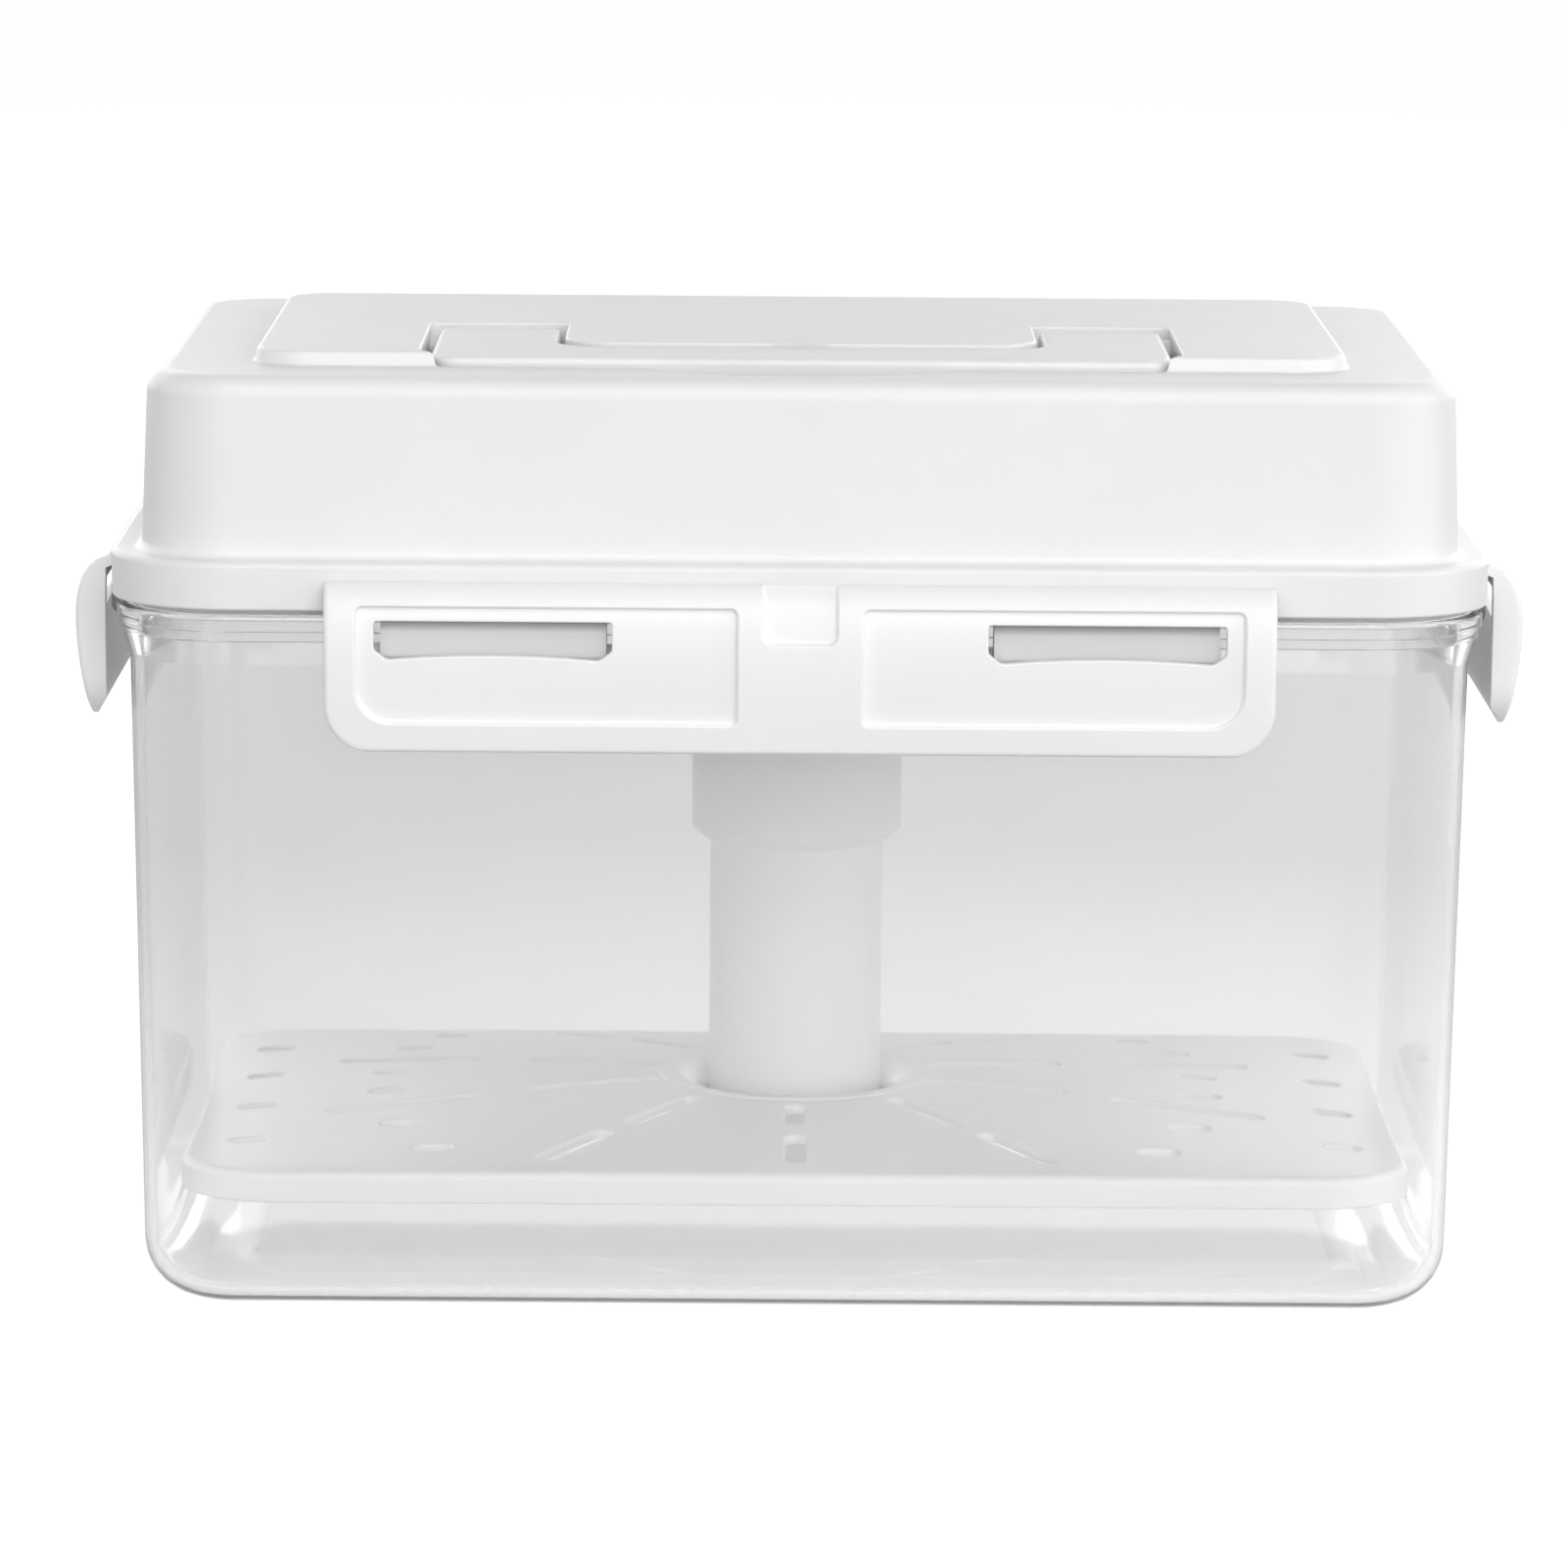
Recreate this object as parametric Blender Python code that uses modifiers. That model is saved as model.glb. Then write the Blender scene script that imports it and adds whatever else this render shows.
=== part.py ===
"""Pickle container: a clear tub, a white domed lid with four snap latches and a handle that folds flat
into it, and a spring-loaded press plate that hangs under the lid on a telescopic column.

Metres, +Z up, the front faces -Y, and the origin is the centre of the face that the tub stands on.
"""
import math

import bmesh
import bpy
from mathutils import Matrix, Vector

# Gaps that several pieces share
TOUCH_GAP = 0.0003
RUNNING_GAP = 0.0003
OVERRUN = 0.004
WELD_DISTANCE = 0.00001

# Tub, measured outside just under its lip
TUB_WIDTH = 0.2503
TUB_DEPTH = 0.1514
TUB_HEIGHT = 0.1378
TUB_CORNER = 0.0197
TUB_WALL = 0.0022
TUB_FLOOR = 0.0025
TUB_LEAN = 0.0020
FOOT_FILLET = 0.011
FOOT_RING = 0.009
FOOT_RECESS = 0.0008
RECESS_CORNER = 0.009

# Stacked beads of the tub's lip, read upwards to the lid's rim
FLARE_HEIGHT = 0.0047
FLARE_REACH = 0.0014
BAND_HEIGHT = 0.0019
BAND_REACH = 0.0019
BEAD_HEIGHT = 0.0029
BEAD_REACH = 0.0025
BEAD_ROUND = 0.0006
BEAD_GAP = 0.0012
NECK_STEP = 0.0007

# Lid: rim, plug, dome and the raised plateau on top
LID_WALL = 0.0022
LID_PLAY = 0.00065
SKIRT_WALL = 0.0020
SKIRT_ROUND = 0.0005
RIM_HEIGHT = 0.0089
RIM_ROUND = 0.0012
PLUG_GAP = 0.00075
PLUG_WALL = 0.0018
PLUG_HEIGHT = 0.0094
GASKET_THICKNESS = 0.0020
DOME_HEIGHT = 0.0337
DOME_LEAN = 0.0013
DOME_FOOT_FILLET = 0.0016
DOME_ROUND = 0.0042
PLATEAU_END_MARGIN = 0.0191
PLATEAU_SIDE_MARGIN = 0.0182
PLATEAU_HEIGHT = 0.0028
PLATEAU_CORNER = 0.010
PLATEAU_LEAN = 0.0006
PLATEAU_ROUND = 0.0010

# Carrying handle and the well it folds into
HANDLE_WIDTH = 0.1390
HANDLE_ARM = 0.0235
HANDLE_GRIP = 0.0183
HANDLE_THICKNESS = 0.0083
HANDLE_CORNER = 0.0060
HANDLE_SINK = 0.0008
HANDLE_EDGE = 0.0012
GRIP_CORNER = 0.0102
WELL_SIDE_GAP = 0.0018
WELL_GAP = 0.0012
WELL_FLOOR_GAP = 0.0005
WELL_REAR_CORNER = 0.0020
PIVOT_SETBACK = 0.0062
PIN_RADIUS = 0.0030
PIN_DEPTH = 0.0026
PIN_PLAY = 0.0003
PIN_BOSS_WALL = 0.0014
SCOOP_HALF_LENGTH = 0.030
SCOOP_DEPTH = 0.016
SCOOP_SETBACK = 0.0040
SCOOP_MARGIN = 0.0062

# Snap latches, measured from the hinge line
FRONT_LATCH_INSET = 0.0411
SIDE_LATCH_INSET = 0.0315
HINGE_RADIUS = 0.0011
HINGE_DROP = 0.0042
LATCH_DROP = 0.0300
LATCH_BULGE = 0.0065
LATCH_INSIDE = 0.0006
LATCH_TIP_RADIUS = 0.0008
LATCH_TIP_REACH = 0.0032
LATCH_CORNER = 0.0085
LATCH_TOP_CORNER = 0.0010
LATCH_END_WALL = 0.0022
LATCH_SKIN = 0.0018
LATCH_LAND = 0.0032
PANEL_TOP = 0.0029
PANEL_HEIGHT = 0.0215
PANEL_MARGIN = 0.0059
PANEL_GAP = 0.0232
PANEL_DEPTH = 0.0014
PANEL_CORNER = 0.0012
PANEL_FOOT_CORNER = 0.0065
SLOT_BELOW_RIM = 0.0009
SLOT_HEIGHT = 0.0062
SLOT_LENGTH = 0.0437
SLOT_MARGIN = 0.0033
SLOT_CORNER = 0.0006
NOTCH_WIDTH = 0.0136
NOTCH_HEIGHT = 0.0092
NOTCH_CORNER = 0.0018

# Lugs of the tub, behind the latch slots
LUG_PLAY = 0.0016
LUG_SHADOW = 0.0016
LUG_SLOPE = 0.0015
LUG_CLEARANCE = 0.0005

# Telescopic column
TUBE_DIAMETER = 0.0336
TUBE_WALL = 0.0020
TUBE_BEAD_REACH = 0.0011
TUBE_BEAD_HEIGHT = 0.0040
SLEEVE_WALL = 0.0022
SLEEVE_CHAMFER_HEIGHT = 0.0021
SLEEVE_FOOT_WALL = 0.0008
GUIDE_LENGTH = 0.0130
SOCKET_WALL = 0.0025
SOCKET_DEPTH = 0.0140
SPRING_WIRE = 0.0018
SPRING_PLAY = 0.0014
SPRING_TURNS = 11

# Press plate
PRESS_TRAVEL = 0.0470
PLATE_CLEARANCE = 0.0040
PLATE_CORNER = 0.018
PLATE_WALL = 0.0020
PLATE_SKIRT = 0.0060
PLATE_CROWN = 0.0065
PLATE_LIFT = 0.0115
HUB_DROP = 0.0118
HUB_FLARE = 0.008
HUB_RIM = 0.0015
HUB_BEAD = 0.0003
HUB_APRON = 0.018
RAY_SLOT_WIDTH = 0.0038
SHORT_SLOT_LENGTH = 0.0075
SHORT_SLOT_WIDTH = 0.0042
RIDGE_SHARE = 0.88

# Rays of slots in the plate: the angle, then two slots as shares of the way from the cup to the long edge
RAY_SHARES = (
    (15, (0.02, 0.70), (0.92, 1.62)),
    (51, (0.12, 0.61), (0.75, 1.22)),
    (90, (0.12, 0.38), (0.52, 0.85)),
)
# Short slots as shares of the plate's half width and half depth
SHORT_SLOT_SHARES = ((0.895, 0.212), (0.895, 0.636), (0.681, 0.130), (0.650, 0.519), (0.591, 0.779))

# Leaf shape of a latch: control points as shares of its bulge and its drop
LEAF_CONTROL_SHARES = ((1.35, 0.02), (1.08, 0.467))

ROUND_PROFILE = 0.5
CORNER_STEPS = 6
ARC_STEPS = 4
CURVE_STEPS = 10
ROUND_SIDES = 32

# Sizes that follow from those above
tub_half_x = TUB_WIDTH / 2
tub_half_y = TUB_DEPTH / 2
foot_fillet = min(FOOT_FILLET, (TUB_CORNER - TUB_LEAN) * 0.8)
rim_reach = NECK_STEP + LID_PLAY + SKIRT_WALL
rim_ledge = rim_reach - NECK_STEP + TUB_WALL + PLUG_GAP
rim_half_x = tub_half_x + rim_reach
rim_half_y = tub_half_y + rim_reach
rim_corner = TUB_CORNER + rim_reach
channel_roof = TUB_HEIGHT + TOUCH_GAP + GASKET_THICKNESS + TOUCH_GAP
rim_top = channel_roof + LID_WALL
rim_bottom = rim_top - RIM_HEIGHT
dome_top = rim_top + DOME_HEIGHT
plateau_top = dome_top + PLATEAU_HEIGHT
dome_half_x = rim_half_x - rim_ledge - DOME_LEAN
dome_half_y = rim_half_y - rim_ledge - DOME_LEAN
plateau_half_x = dome_half_x - PLATEAU_END_MARGIN
plateau_half_y = dome_half_y - PLATEAU_SIDE_MARGIN
lid_roof = plateau_top - LID_WALL
bead_top = rim_bottom - BEAD_GAP
bead_low = bead_top - BEAD_HEIGHT
band_low = bead_low - BAND_HEIGHT
flare_low = band_low - FLARE_HEIGHT

hinge_standoff = HINGE_RADIUS + TOUCH_GAP
hinge_z = rim_top - HINGE_DROP
slot_high = rim_bottom - SLOT_BELOW_RIM
slot_low = slot_high - SLOT_HEIGHT
tip_inside = LATCH_TIP_REACH - LATCH_TIP_RADIUS
front_latch_half = rim_half_x - FRONT_LATCH_INSET
side_latch_half = rim_half_y - SIDE_LATCH_INSET
front_slot = front_latch_half - PANEL_MARGIN - SLOT_MARGIN - SLOT_LENGTH / 2

hub_bottom = TUB_FLOOR + PLATE_LIFT
hub_floor = hub_bottom + PLATE_WALL
plate_edge = hub_bottom + HUB_DROP
plate_ridge = plate_edge + PLATE_CROWN * RIDGE_SHARE
plate_half_x = tub_half_x - TUB_LEAN - TUB_WALL - PLATE_CLEARANCE
plate_half_y = tub_half_y - TUB_LEAN - TUB_WALL - PLATE_CLEARANCE
sleeve_bottom = plate_ridge + PRESS_TRAVEL + TOUCH_GAP
sleeve_top = lid_roof - TOUCH_GAP
guide_top = sleeve_bottom + GUIDE_LENGTH
tube_radius = TUBE_DIAMETER / 2
tube_bead = tube_radius + TUBE_BEAD_REACH
sleeve_bore = tube_bead + RUNNING_GAP
sleeve_radius = sleeve_bore + SLEEVE_WALL
tube_bottom = hub_floor + TOUCH_GAP
tube_top = guide_top + TOUCH_GAP + TUBE_BEAD_HEIGHT
hub_radius = tube_radius + TOUCH_GAP
flare_radius = hub_radius + HUB_FLARE

handle_top = plateau_top - HANDLE_SINK
handle_low = handle_top - HANDLE_THICKNESS
handle_front = plateau_half_y
scoop_back = handle_front - SCOOP_SETBACK
scoop_half_width = dome_half_y - SCOOP_MARGIN - scoop_back
pivot_z = handle_top - HANDLE_THICKNESS / 2
pivot_y = -PIVOT_SETBACK
handle_rear = PIVOT_SETBACK - HANDLE_THICKNESS / 2
well_half_width = HANDLE_WIDTH / 2 + WELL_SIDE_GAP
pin_reach = well_half_width + PIN_DEPTH


def arc(centre_a, centre_b, radius, start, end, steps=ARC_STEPS):
    """Points on an arc; the angles are in degrees."""
    points = []
    for step in range(steps + 1):
        angle = math.radians(start + (end - start) * step / steps)
        points.append((centre_a + radius * math.cos(angle), centre_b + radius * math.sin(angle)))
    return points


def rounded(corners, steps=CORNER_STEPS):
    """An outline through corners of (x, y, radius), each turned into an arc."""
    outline = []
    for index, (x, y, radius) in enumerate(corners):
        corner = Vector((x, y))
        if radius == 0:
            outline.append((x, y))
            continue
        before = Vector(corners[index - 1][:2]) - corner
        after = Vector(corners[(index + 1) % len(corners)][:2]) - corner
        before.normalize()
        after.normalize()
        half_angle = before.angle(after) / 2
        centre = corner + (before + after).normalized() * (radius / math.sin(half_angle))
        start = corner + before * (radius / math.tan(half_angle)) - centre
        turn = start.angle_signed(corner + after * (radius / math.tan(half_angle)) - centre)
        for step in range(steps + 1):
            spoke = start.copy()
            spoke.rotate(Matrix.Rotation(-turn * step / steps, 2))
            outline.append(tuple(centre + spoke))
    return outline


def collection(name):
    """A new collection in the scene."""
    group = bpy.data.collections.new(name)
    bpy.context.scene.collection.children.link(group)
    return group


def add_object(name, mesh, group):
    """An object for a mesh, in a collection."""
    item = bpy.data.objects.new(name, mesh)
    group.objects.link(item)
    if group is cutters:
        item.hide_render = True
        item.display_type = "WIRE"
    return item


def finish_mesh(name, bm, group):
    """Turns a bmesh into an object with its faces pointing out."""
    bmesh.ops.recalc_face_normals(bm, faces=bm.faces)
    mesh = bpy.data.meshes.new(name)
    bm.to_mesh(mesh)
    bm.free()
    return add_object(name, mesh, group)


def stepped_box(name, half_x, half_y, radius, levels, group):
    """A rounded block whose outline is offset evenly from level to level; each is (growth, z)."""
    bm = bmesh.new()
    growth, height = levels[0]
    bmesh.ops.create_grid(bm, x_segments=1, y_segments=1, size=1.0)
    bmesh.ops.scale(bm, vec=(half_x + growth, half_y + growth, 1), verts=bm.verts)
    bmesh.ops.translate(bm, vec=(0, 0, height), verts=bm.verts)
    bmesh.ops.bevel(
        bm,
        geom=bm.verts,
        offset=radius + growth,
        segments=CORNER_STEPS,
        profile=ROUND_PROFILE,
        affect="VERTICES",
    )
    bm.normal_update()
    bm.faces.ensure_lookup_table()
    face = bm.faces[0]
    for next_growth, next_height in levels[1:]:
        bmesh.ops.inset_individual(
            bm,
            faces=[face],
            thickness=growth - next_growth,
            depth=next_height - height,
            use_even_offset=True,
        )
        growth, height = next_growth, next_height
    open_edges = [edge for edge in bm.edges if edge.is_boundary]
    bmesh.ops.holes_fill(bm, edges=open_edges, sides=0)
    return finish_mesh(name, bm, group)


def evaluated_mesh(item, name):
    """The mesh of an object as its modifiers or its curve's settings make it."""
    bpy.context.view_layer.update()
    graph = bpy.context.evaluated_depsgraph_get()
    mesh = bpy.data.meshes.new_from_object(item.evaluated_get(graph))
    mesh.name = name
    return mesh


def mesh_from_curve(name, curve):
    """Turns a curve into a bmesh with its caps welded on."""
    item = bpy.data.objects.new(name, curve)
    cutters.objects.link(item)
    mesh = evaluated_mesh(item, name)
    bpy.data.objects.remove(item)
    bm = bmesh.new()
    bm.from_mesh(mesh)
    bpy.data.meshes.remove(mesh)
    bmesh.ops.remove_doubles(bm, verts=bm.verts, dist=WELD_DISTANCE)
    return bm


def prism(name, outlines, low, high, group, frame=None):
    """Upright prisms on flat outlines, in one object, which a frame may then turn and move."""
    curve = bpy.data.curves.new(name, "CURVE")
    curve.dimensions = "2D"
    curve.fill_mode = "BOTH"
    curve.extrude = (high - low) / 2
    for outline in outlines:
        spline = curve.splines.new("POLY")
        spline.points.add(len(outline) - 1)
        spline.use_cyclic_u = True
        for point, (x, y) in zip(spline.points, outline):
            point.co = (x, y, 0, 1)
    bm = mesh_from_curve(name, curve)
    bmesh.ops.translate(bm, vec=(0, 0, (high + low) / 2), verts=bm.verts)
    if frame:
        bmesh.ops.transform(bm, matrix=frame, verts=bm.verts)
    return finish_mesh(name, bm, group)


def turned(name, profile, group, closed=True, steps=ROUND_SIDES):
    """A profile of (radius, z) turned about Z, its outer side running down."""
    bm = bmesh.new()
    verts = [bm.verts.new((radius, 0, height)) for radius, height in profile]
    for first, second in zip(verts, verts[1:]):
        bm.edges.new((first, second))
    if closed:
        bm.edges.new((verts[-1], verts[0]))
    mesh = bpy.data.meshes.new(name)
    bm.to_mesh(mesh)
    bm.free()
    item = add_object(name, mesh, group)
    screw = item.modifiers.new("turn", "SCREW")
    screw.steps = steps
    screw.render_steps = steps
    screw.use_merge_vertices = True
    screw.merge_threshold = WELD_DISTANCE
    return item


def cylinder_x(name, radius, low, high, y, z, group):
    """A rod along X."""
    bm = bmesh.new()
    frame = Matrix.Translation(((low + high) / 2, y, z)) @ Matrix.Rotation(math.pi / 2, 4, "Y")
    bmesh.ops.create_cone(
        bm,
        cap_ends=True,
        segments=ROUND_SIDES // 2,
        radius1=radius,
        radius2=radius,
        depth=high - low,
        matrix=frame,
    )
    return finish_mesh(name, bm, group)


def carve(target, tool, operation="DIFFERENCE"):
    """A Boolean of one object by another."""
    modifier = target.modifiers.new(tool.name, "BOOLEAN")
    modifier.operation = operation
    modifier.object = tool
    return target


def move_origin(item, point):
    """Puts an object's origin at a point without moving its mesh."""
    item.data.transform(Matrix.Translation(-Vector(point)))
    item.location = point
    return item


def paint(item, colour, roughness, alpha=1.0):
    """A material of the object's own."""
    material = bpy.data.materials.new(item.name)
    material.use_nodes = True
    shader = material.node_tree.nodes["Principled BSDF"]
    shader.inputs["Base Color"].default_value = (*colour, 1.0)
    shader.inputs["Roughness"].default_value = roughness
    shader.inputs["Metallic"].default_value = 0.0
    shader.inputs["Alpha"].default_value = alpha
    item.data.materials.clear()
    item.data.materials.append(material)
    return item


def face_frame(turn, distance, along=0.0, height=0.0):
    """Stands an outline of (outwards, up) upright on the side that a turn about Z brings to the front."""
    upright = Matrix(((0, 0, -1, along), (-1, 0, 0, -distance), (0, 1, 0, height), (0, 0, 0, 1)))
    return Matrix.Rotation(math.radians(turn), 4, "Z") @ upright


def make_tub():
    """The clear tub, its stacked lip, and the six lugs that the latches snap over."""
    lean_in = -TUB_LEAN
    outside = arc(lean_in - foot_fillet, foot_fillet, foot_fillet, -90, 0) + [
        (0, flare_low),
        (FLARE_REACH, band_low),
        (BAND_REACH, band_low),
        (BAND_REACH, bead_low),
        (BEAD_REACH, bead_low + BEAD_ROUND),
        (BEAD_REACH, bead_top - BEAD_ROUND),
        (BEAD_REACH - BEAD_ROUND, bead_top),
        (NECK_STEP, bead_top),
        (NECK_STEP, TUB_HEIGHT),
    ]
    tub = stepped_box("tub", tub_half_x, tub_half_y, TUB_CORNER, outside, parts)
    inner_fillet = foot_fillet - TUB_WALL
    inside = arc(lean_in - TUB_WALL - inner_fillet, TUB_FLOOR + inner_fillet, inner_fillet, -90, 0) + [
        (-TUB_WALL, flare_low),
        (NECK_STEP - TUB_WALL, band_low),
        (NECK_STEP - TUB_WALL, TUB_HEIGHT + OVERRUN),
    ]
    cavity = stepped_box("tub_cavity", tub_half_x, tub_half_y, TUB_CORNER, inside, cutters)
    recess_in = lean_in - foot_fillet - FOOT_RING
    recess = stepped_box(
        "foot_recess",
        tub_half_x + recess_in,
        tub_half_y + recess_in,
        RECESS_CORNER,
        [(0, -OVERRUN), (0, FOOT_RECESS)],
        cutters,
    )
    carve(tub, make_lugs(), "UNION")
    carve(tub, cavity)
    carve(tub, recess)
    return paint(tub, (0.86, 0.88, 0.9), 0.2, 0.35)


def make_lugs():
    """Six wedge lugs in one object; their noses stop just behind the latches."""
    nose = rim_reach + hinge_standoff + tip_inside - LUG_CLEARANCE
    low = slot_low + TOUCH_GAP
    high = slot_high - LUG_SHADOW
    section = [
        (0, low),
        (nose - LUG_SLOPE, low),
        (nose, low + LUG_SLOPE),
        (nose, high - LUG_SLOPE),
        (0, high),
    ]
    half = SLOT_LENGTH / 2 - LUG_PLAY
    lug = prism("lug", [section], -half, half, cutters)
    bm = bmesh.new()
    places = [(0, tub_half_y, front_slot), (0, tub_half_y, -front_slot), (90, tub_half_x, 0)]
    for turn, distance, along in places:
        for half_turn in (0, 180):
            first = len(bm.verts)
            bm.from_mesh(lug.data)
            bm.verts.ensure_lookup_table()
            frame = face_frame(turn + half_turn, distance, along)
            bmesh.ops.transform(bm, matrix=frame, verts=bm.verts[first:])
    return finish_mesh("lugs", bm, cutters)


def handle_outline(growth, side_gap, gap, rear_gap, rear_corner):
    """The handle's U in plan, or the well round it when the gaps and the growth are given."""
    outer = HANDLE_WIDTH / 2 + side_gap + growth
    inner = HANDLE_WIDTH / 2 - HANDLE_ARM - gap - growth
    front = -(handle_front + gap + growth)
    grip_rear = -(handle_front - HANDLE_GRIP - gap - growth)
    rear = -handle_rear + rear_gap + growth
    outer_corner = HANDLE_CORNER + gap + growth
    inner_corner = GRIP_CORNER - gap - growth
    return rounded([
        (-outer, rear, rear_corner),
        (-outer, front, outer_corner),
        (outer, front, outer_corner),
        (outer, rear, rear_corner),
        (inner, rear, 0),
        (inner, grip_rear, inner_corner),
        (-inner, grip_rear, inner_corner),
        (-inner, rear, 0),
    ])


def make_well(name, growth):
    """The pocket in the lid that the folded handle lies in; growth gives the wall round it."""
    outline = handle_outline(growth, WELL_SIDE_GAP, WELL_GAP, WELL_GAP, WELL_REAR_CORNER + growth)
    floor = handle_low - WELL_FLOOR_GAP - growth
    return prism(name, [outline], floor, plateau_top + OVERRUN, cutters)


def make_scoop(name, growth):
    """The hollow under the middle of the grip, where fingers reach in."""
    bm = bmesh.new()
    sizes = (SCOOP_HALF_LENGTH + growth, scoop_half_width + growth, SCOOP_DEPTH + growth)
    centre = (0, -scoop_back, dome_top)
    bmesh.ops.create_uvsphere(bm, u_segments=20, v_segments=12, radius=1.0)
    bmesh.ops.scale(bm, vec=sizes, verts=bm.verts)
    bmesh.ops.translate(bm, vec=centre, verts=bm.verts)
    return finish_mesh(name, bm, cutters)


def make_lid_shell():
    """The lid: rim and plug, dome, plateau, handle well, pivot bosses and the column's socket."""
    foot = DOME_FOOT_FILLET
    outside = [
        (-rim_ledge, channel_roof - PLUG_HEIGHT),
        (-rim_ledge, channel_roof),
        (-SKIRT_WALL, channel_roof),
        (-SKIRT_WALL, rim_bottom),
        (-SKIRT_ROUND, rim_bottom),
        (0, rim_bottom + SKIRT_ROUND),
    ]
    outside += arc(-RIM_ROUND, rim_top - RIM_ROUND, RIM_ROUND, 0, 90)
    outside += arc(foot - rim_ledge, rim_top + foot, foot, 270, 180)
    top_in = -rim_ledge - DOME_LEAN
    outside += arc(top_in - DOME_ROUND, dome_top - DOME_ROUND, DOME_ROUND, 0, 90)
    lid = stepped_box("lid_shell", rim_half_x, rim_half_y, rim_corner, outside, parts)

    top_lean = -PLATEAU_LEAN - PLATEAU_ROUND
    plateau_sides = [(0, dome_top - LID_WALL / 2), (0, dome_top)]
    plateau_sides += arc(top_lean, plateau_top - PLATEAU_ROUND, PLATEAU_ROUND, 0, 90)
    plateau = stepped_box("plateau", plateau_half_x, plateau_half_y, PLATEAU_CORNER, plateau_sides, cutters)

    plug_in = -rim_ledge - PLUG_WALL
    dome_in = top_in - LID_WALL
    inside = [
        (plug_in, channel_roof - PLUG_HEIGHT - OVERRUN),
        (plug_in, channel_roof),
        (-rim_ledge - LID_WALL, rim_top),
    ]
    round_in = DOME_ROUND - LID_WALL
    inside += arc(dome_in - round_in, dome_top - LID_WALL - round_in, round_in, 0, 90)
    cavity = stepped_box("lid_cavity", rim_half_x, rim_half_y, rim_corner, inside, cutters)
    plateau_cavity = stepped_box(
        "plateau_cavity",
        plateau_half_x - LID_WALL,
        plateau_half_y - LID_WALL,
        PLATEAU_CORNER - LID_WALL,
        [(0, dome_top - LID_WALL - OVERRUN), (0, lid_roof)],
        cutters,
    )
    carve(cavity, plateau_cavity, "UNION")
    carve(cavity, make_well("well_wall", LID_WALL))
    carve(cavity, make_scoop("scoop_wall", LID_WALL))

    carve(lid, plateau, "UNION")
    carve(lid, make_well("handle_well", 0))
    carve(lid, make_scoop("finger_scoop", 0))
    carve(lid, cavity)

    boss_radius = PIN_RADIUS + PIN_PLAY + PIN_BOSS_WALL
    for side, name in ((-1, "left"), (1, "right")):
        boss_ends = sorted((side * (well_half_width + LID_WALL / 2), side * (pin_reach + LID_WALL)))
        boss = cylinder_x(name + "_boss", boss_radius, *boss_ends, pivot_y, pivot_z, cutters)
        carve(lid, boss, "UNION")
    hole_reach = pin_reach + PIN_PLAY
    for side, name in ((-1, "left"), (1, "right")):
        hole_ends = sorted((side * (well_half_width - OVERRUN / 4), side * hole_reach))
        hole = cylinder_x(name + "_pin_hole", PIN_RADIUS + PIN_PLAY, *hole_ends, pivot_y, pivot_z, cutters)
        carve(lid, hole)

    socket_in = sleeve_radius + TOUCH_GAP
    socket_out = socket_in + SOCKET_WALL
    socket_profile = [
        (socket_in, lid_roof + LID_WALL / 2),
        (socket_out, lid_roof + LID_WALL / 2),
        (socket_out, lid_roof - SOCKET_DEPTH),
        (socket_in, lid_roof - SOCKET_DEPTH),
    ]
    carve(lid, turned("column_socket", socket_profile, cutters), "UNION")
    return paint(lid, (0.9, 0.9, 0.9), 0.3)


def make_gasket():
    """The silicone ring between the skirt and the plug, over the tub's edge."""
    low = TUB_HEIGHT + TOUCH_GAP
    high = low + GASKET_THICKNESS
    outside = SKIRT_WALL + TOUCH_GAP
    inside = rim_ledge - TOUCH_GAP
    gasket = stepped_box(
        "lid_gasket", rim_half_x, rim_half_y, rim_corner, [(-outside, low), (-outside, high)], parts
    )
    hollow = stepped_box(
        "gasket_hollow",
        rim_half_x,
        rim_half_y,
        rim_corner,
        [(-inside, low - OVERRUN), (-inside, high + OVERRUN)],
        cutters,
    )
    carve(gasket, hollow)
    return paint(gasket, (0.85, 0.85, 0.84), 0.6)


def make_handle():
    """The U-shaped handle with its pivot pins, folded down."""
    plan = handle_outline(0, 0, 0, 0, 0)
    handle = prism("carry_handle", [plan], handle_low - OVERRUN, handle_top + OVERRUN, parts)
    half = HANDLE_THICKNESS / 2
    edge = HANDLE_EDGE
    side_view = [(handle_front - edge, handle_low), (handle_front, handle_low + edge)]
    side_view += [(handle_front, handle_top - edge), (handle_front - edge, handle_top)]
    side_view += arc(PIVOT_SETBACK, pivot_z, half, 90, 270, CURVE_STEPS)
    thickness = prism(
        "handle_thickness", [side_view], -HANDLE_WIDTH, HANDLE_WIDTH, cutters, face_frame(0, 0)
    )
    carve(handle, thickness, "INTERSECT")
    for side, name in ((-1, "left"), (1, "right")):
        pin_ends = sorted((side * (HANDLE_WIDTH / 2 - HANDLE_ARM / 2), side * pin_reach))
        pin = cylinder_x(name + "_pin", PIN_RADIUS, *pin_ends, pivot_y, pivot_z, cutters)
        carve(handle, pin, "UNION")
    move_origin(handle, (0, pivot_y, pivot_z))
    return paint(handle, (0.9, 0.9, 0.9), 0.3)


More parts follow.
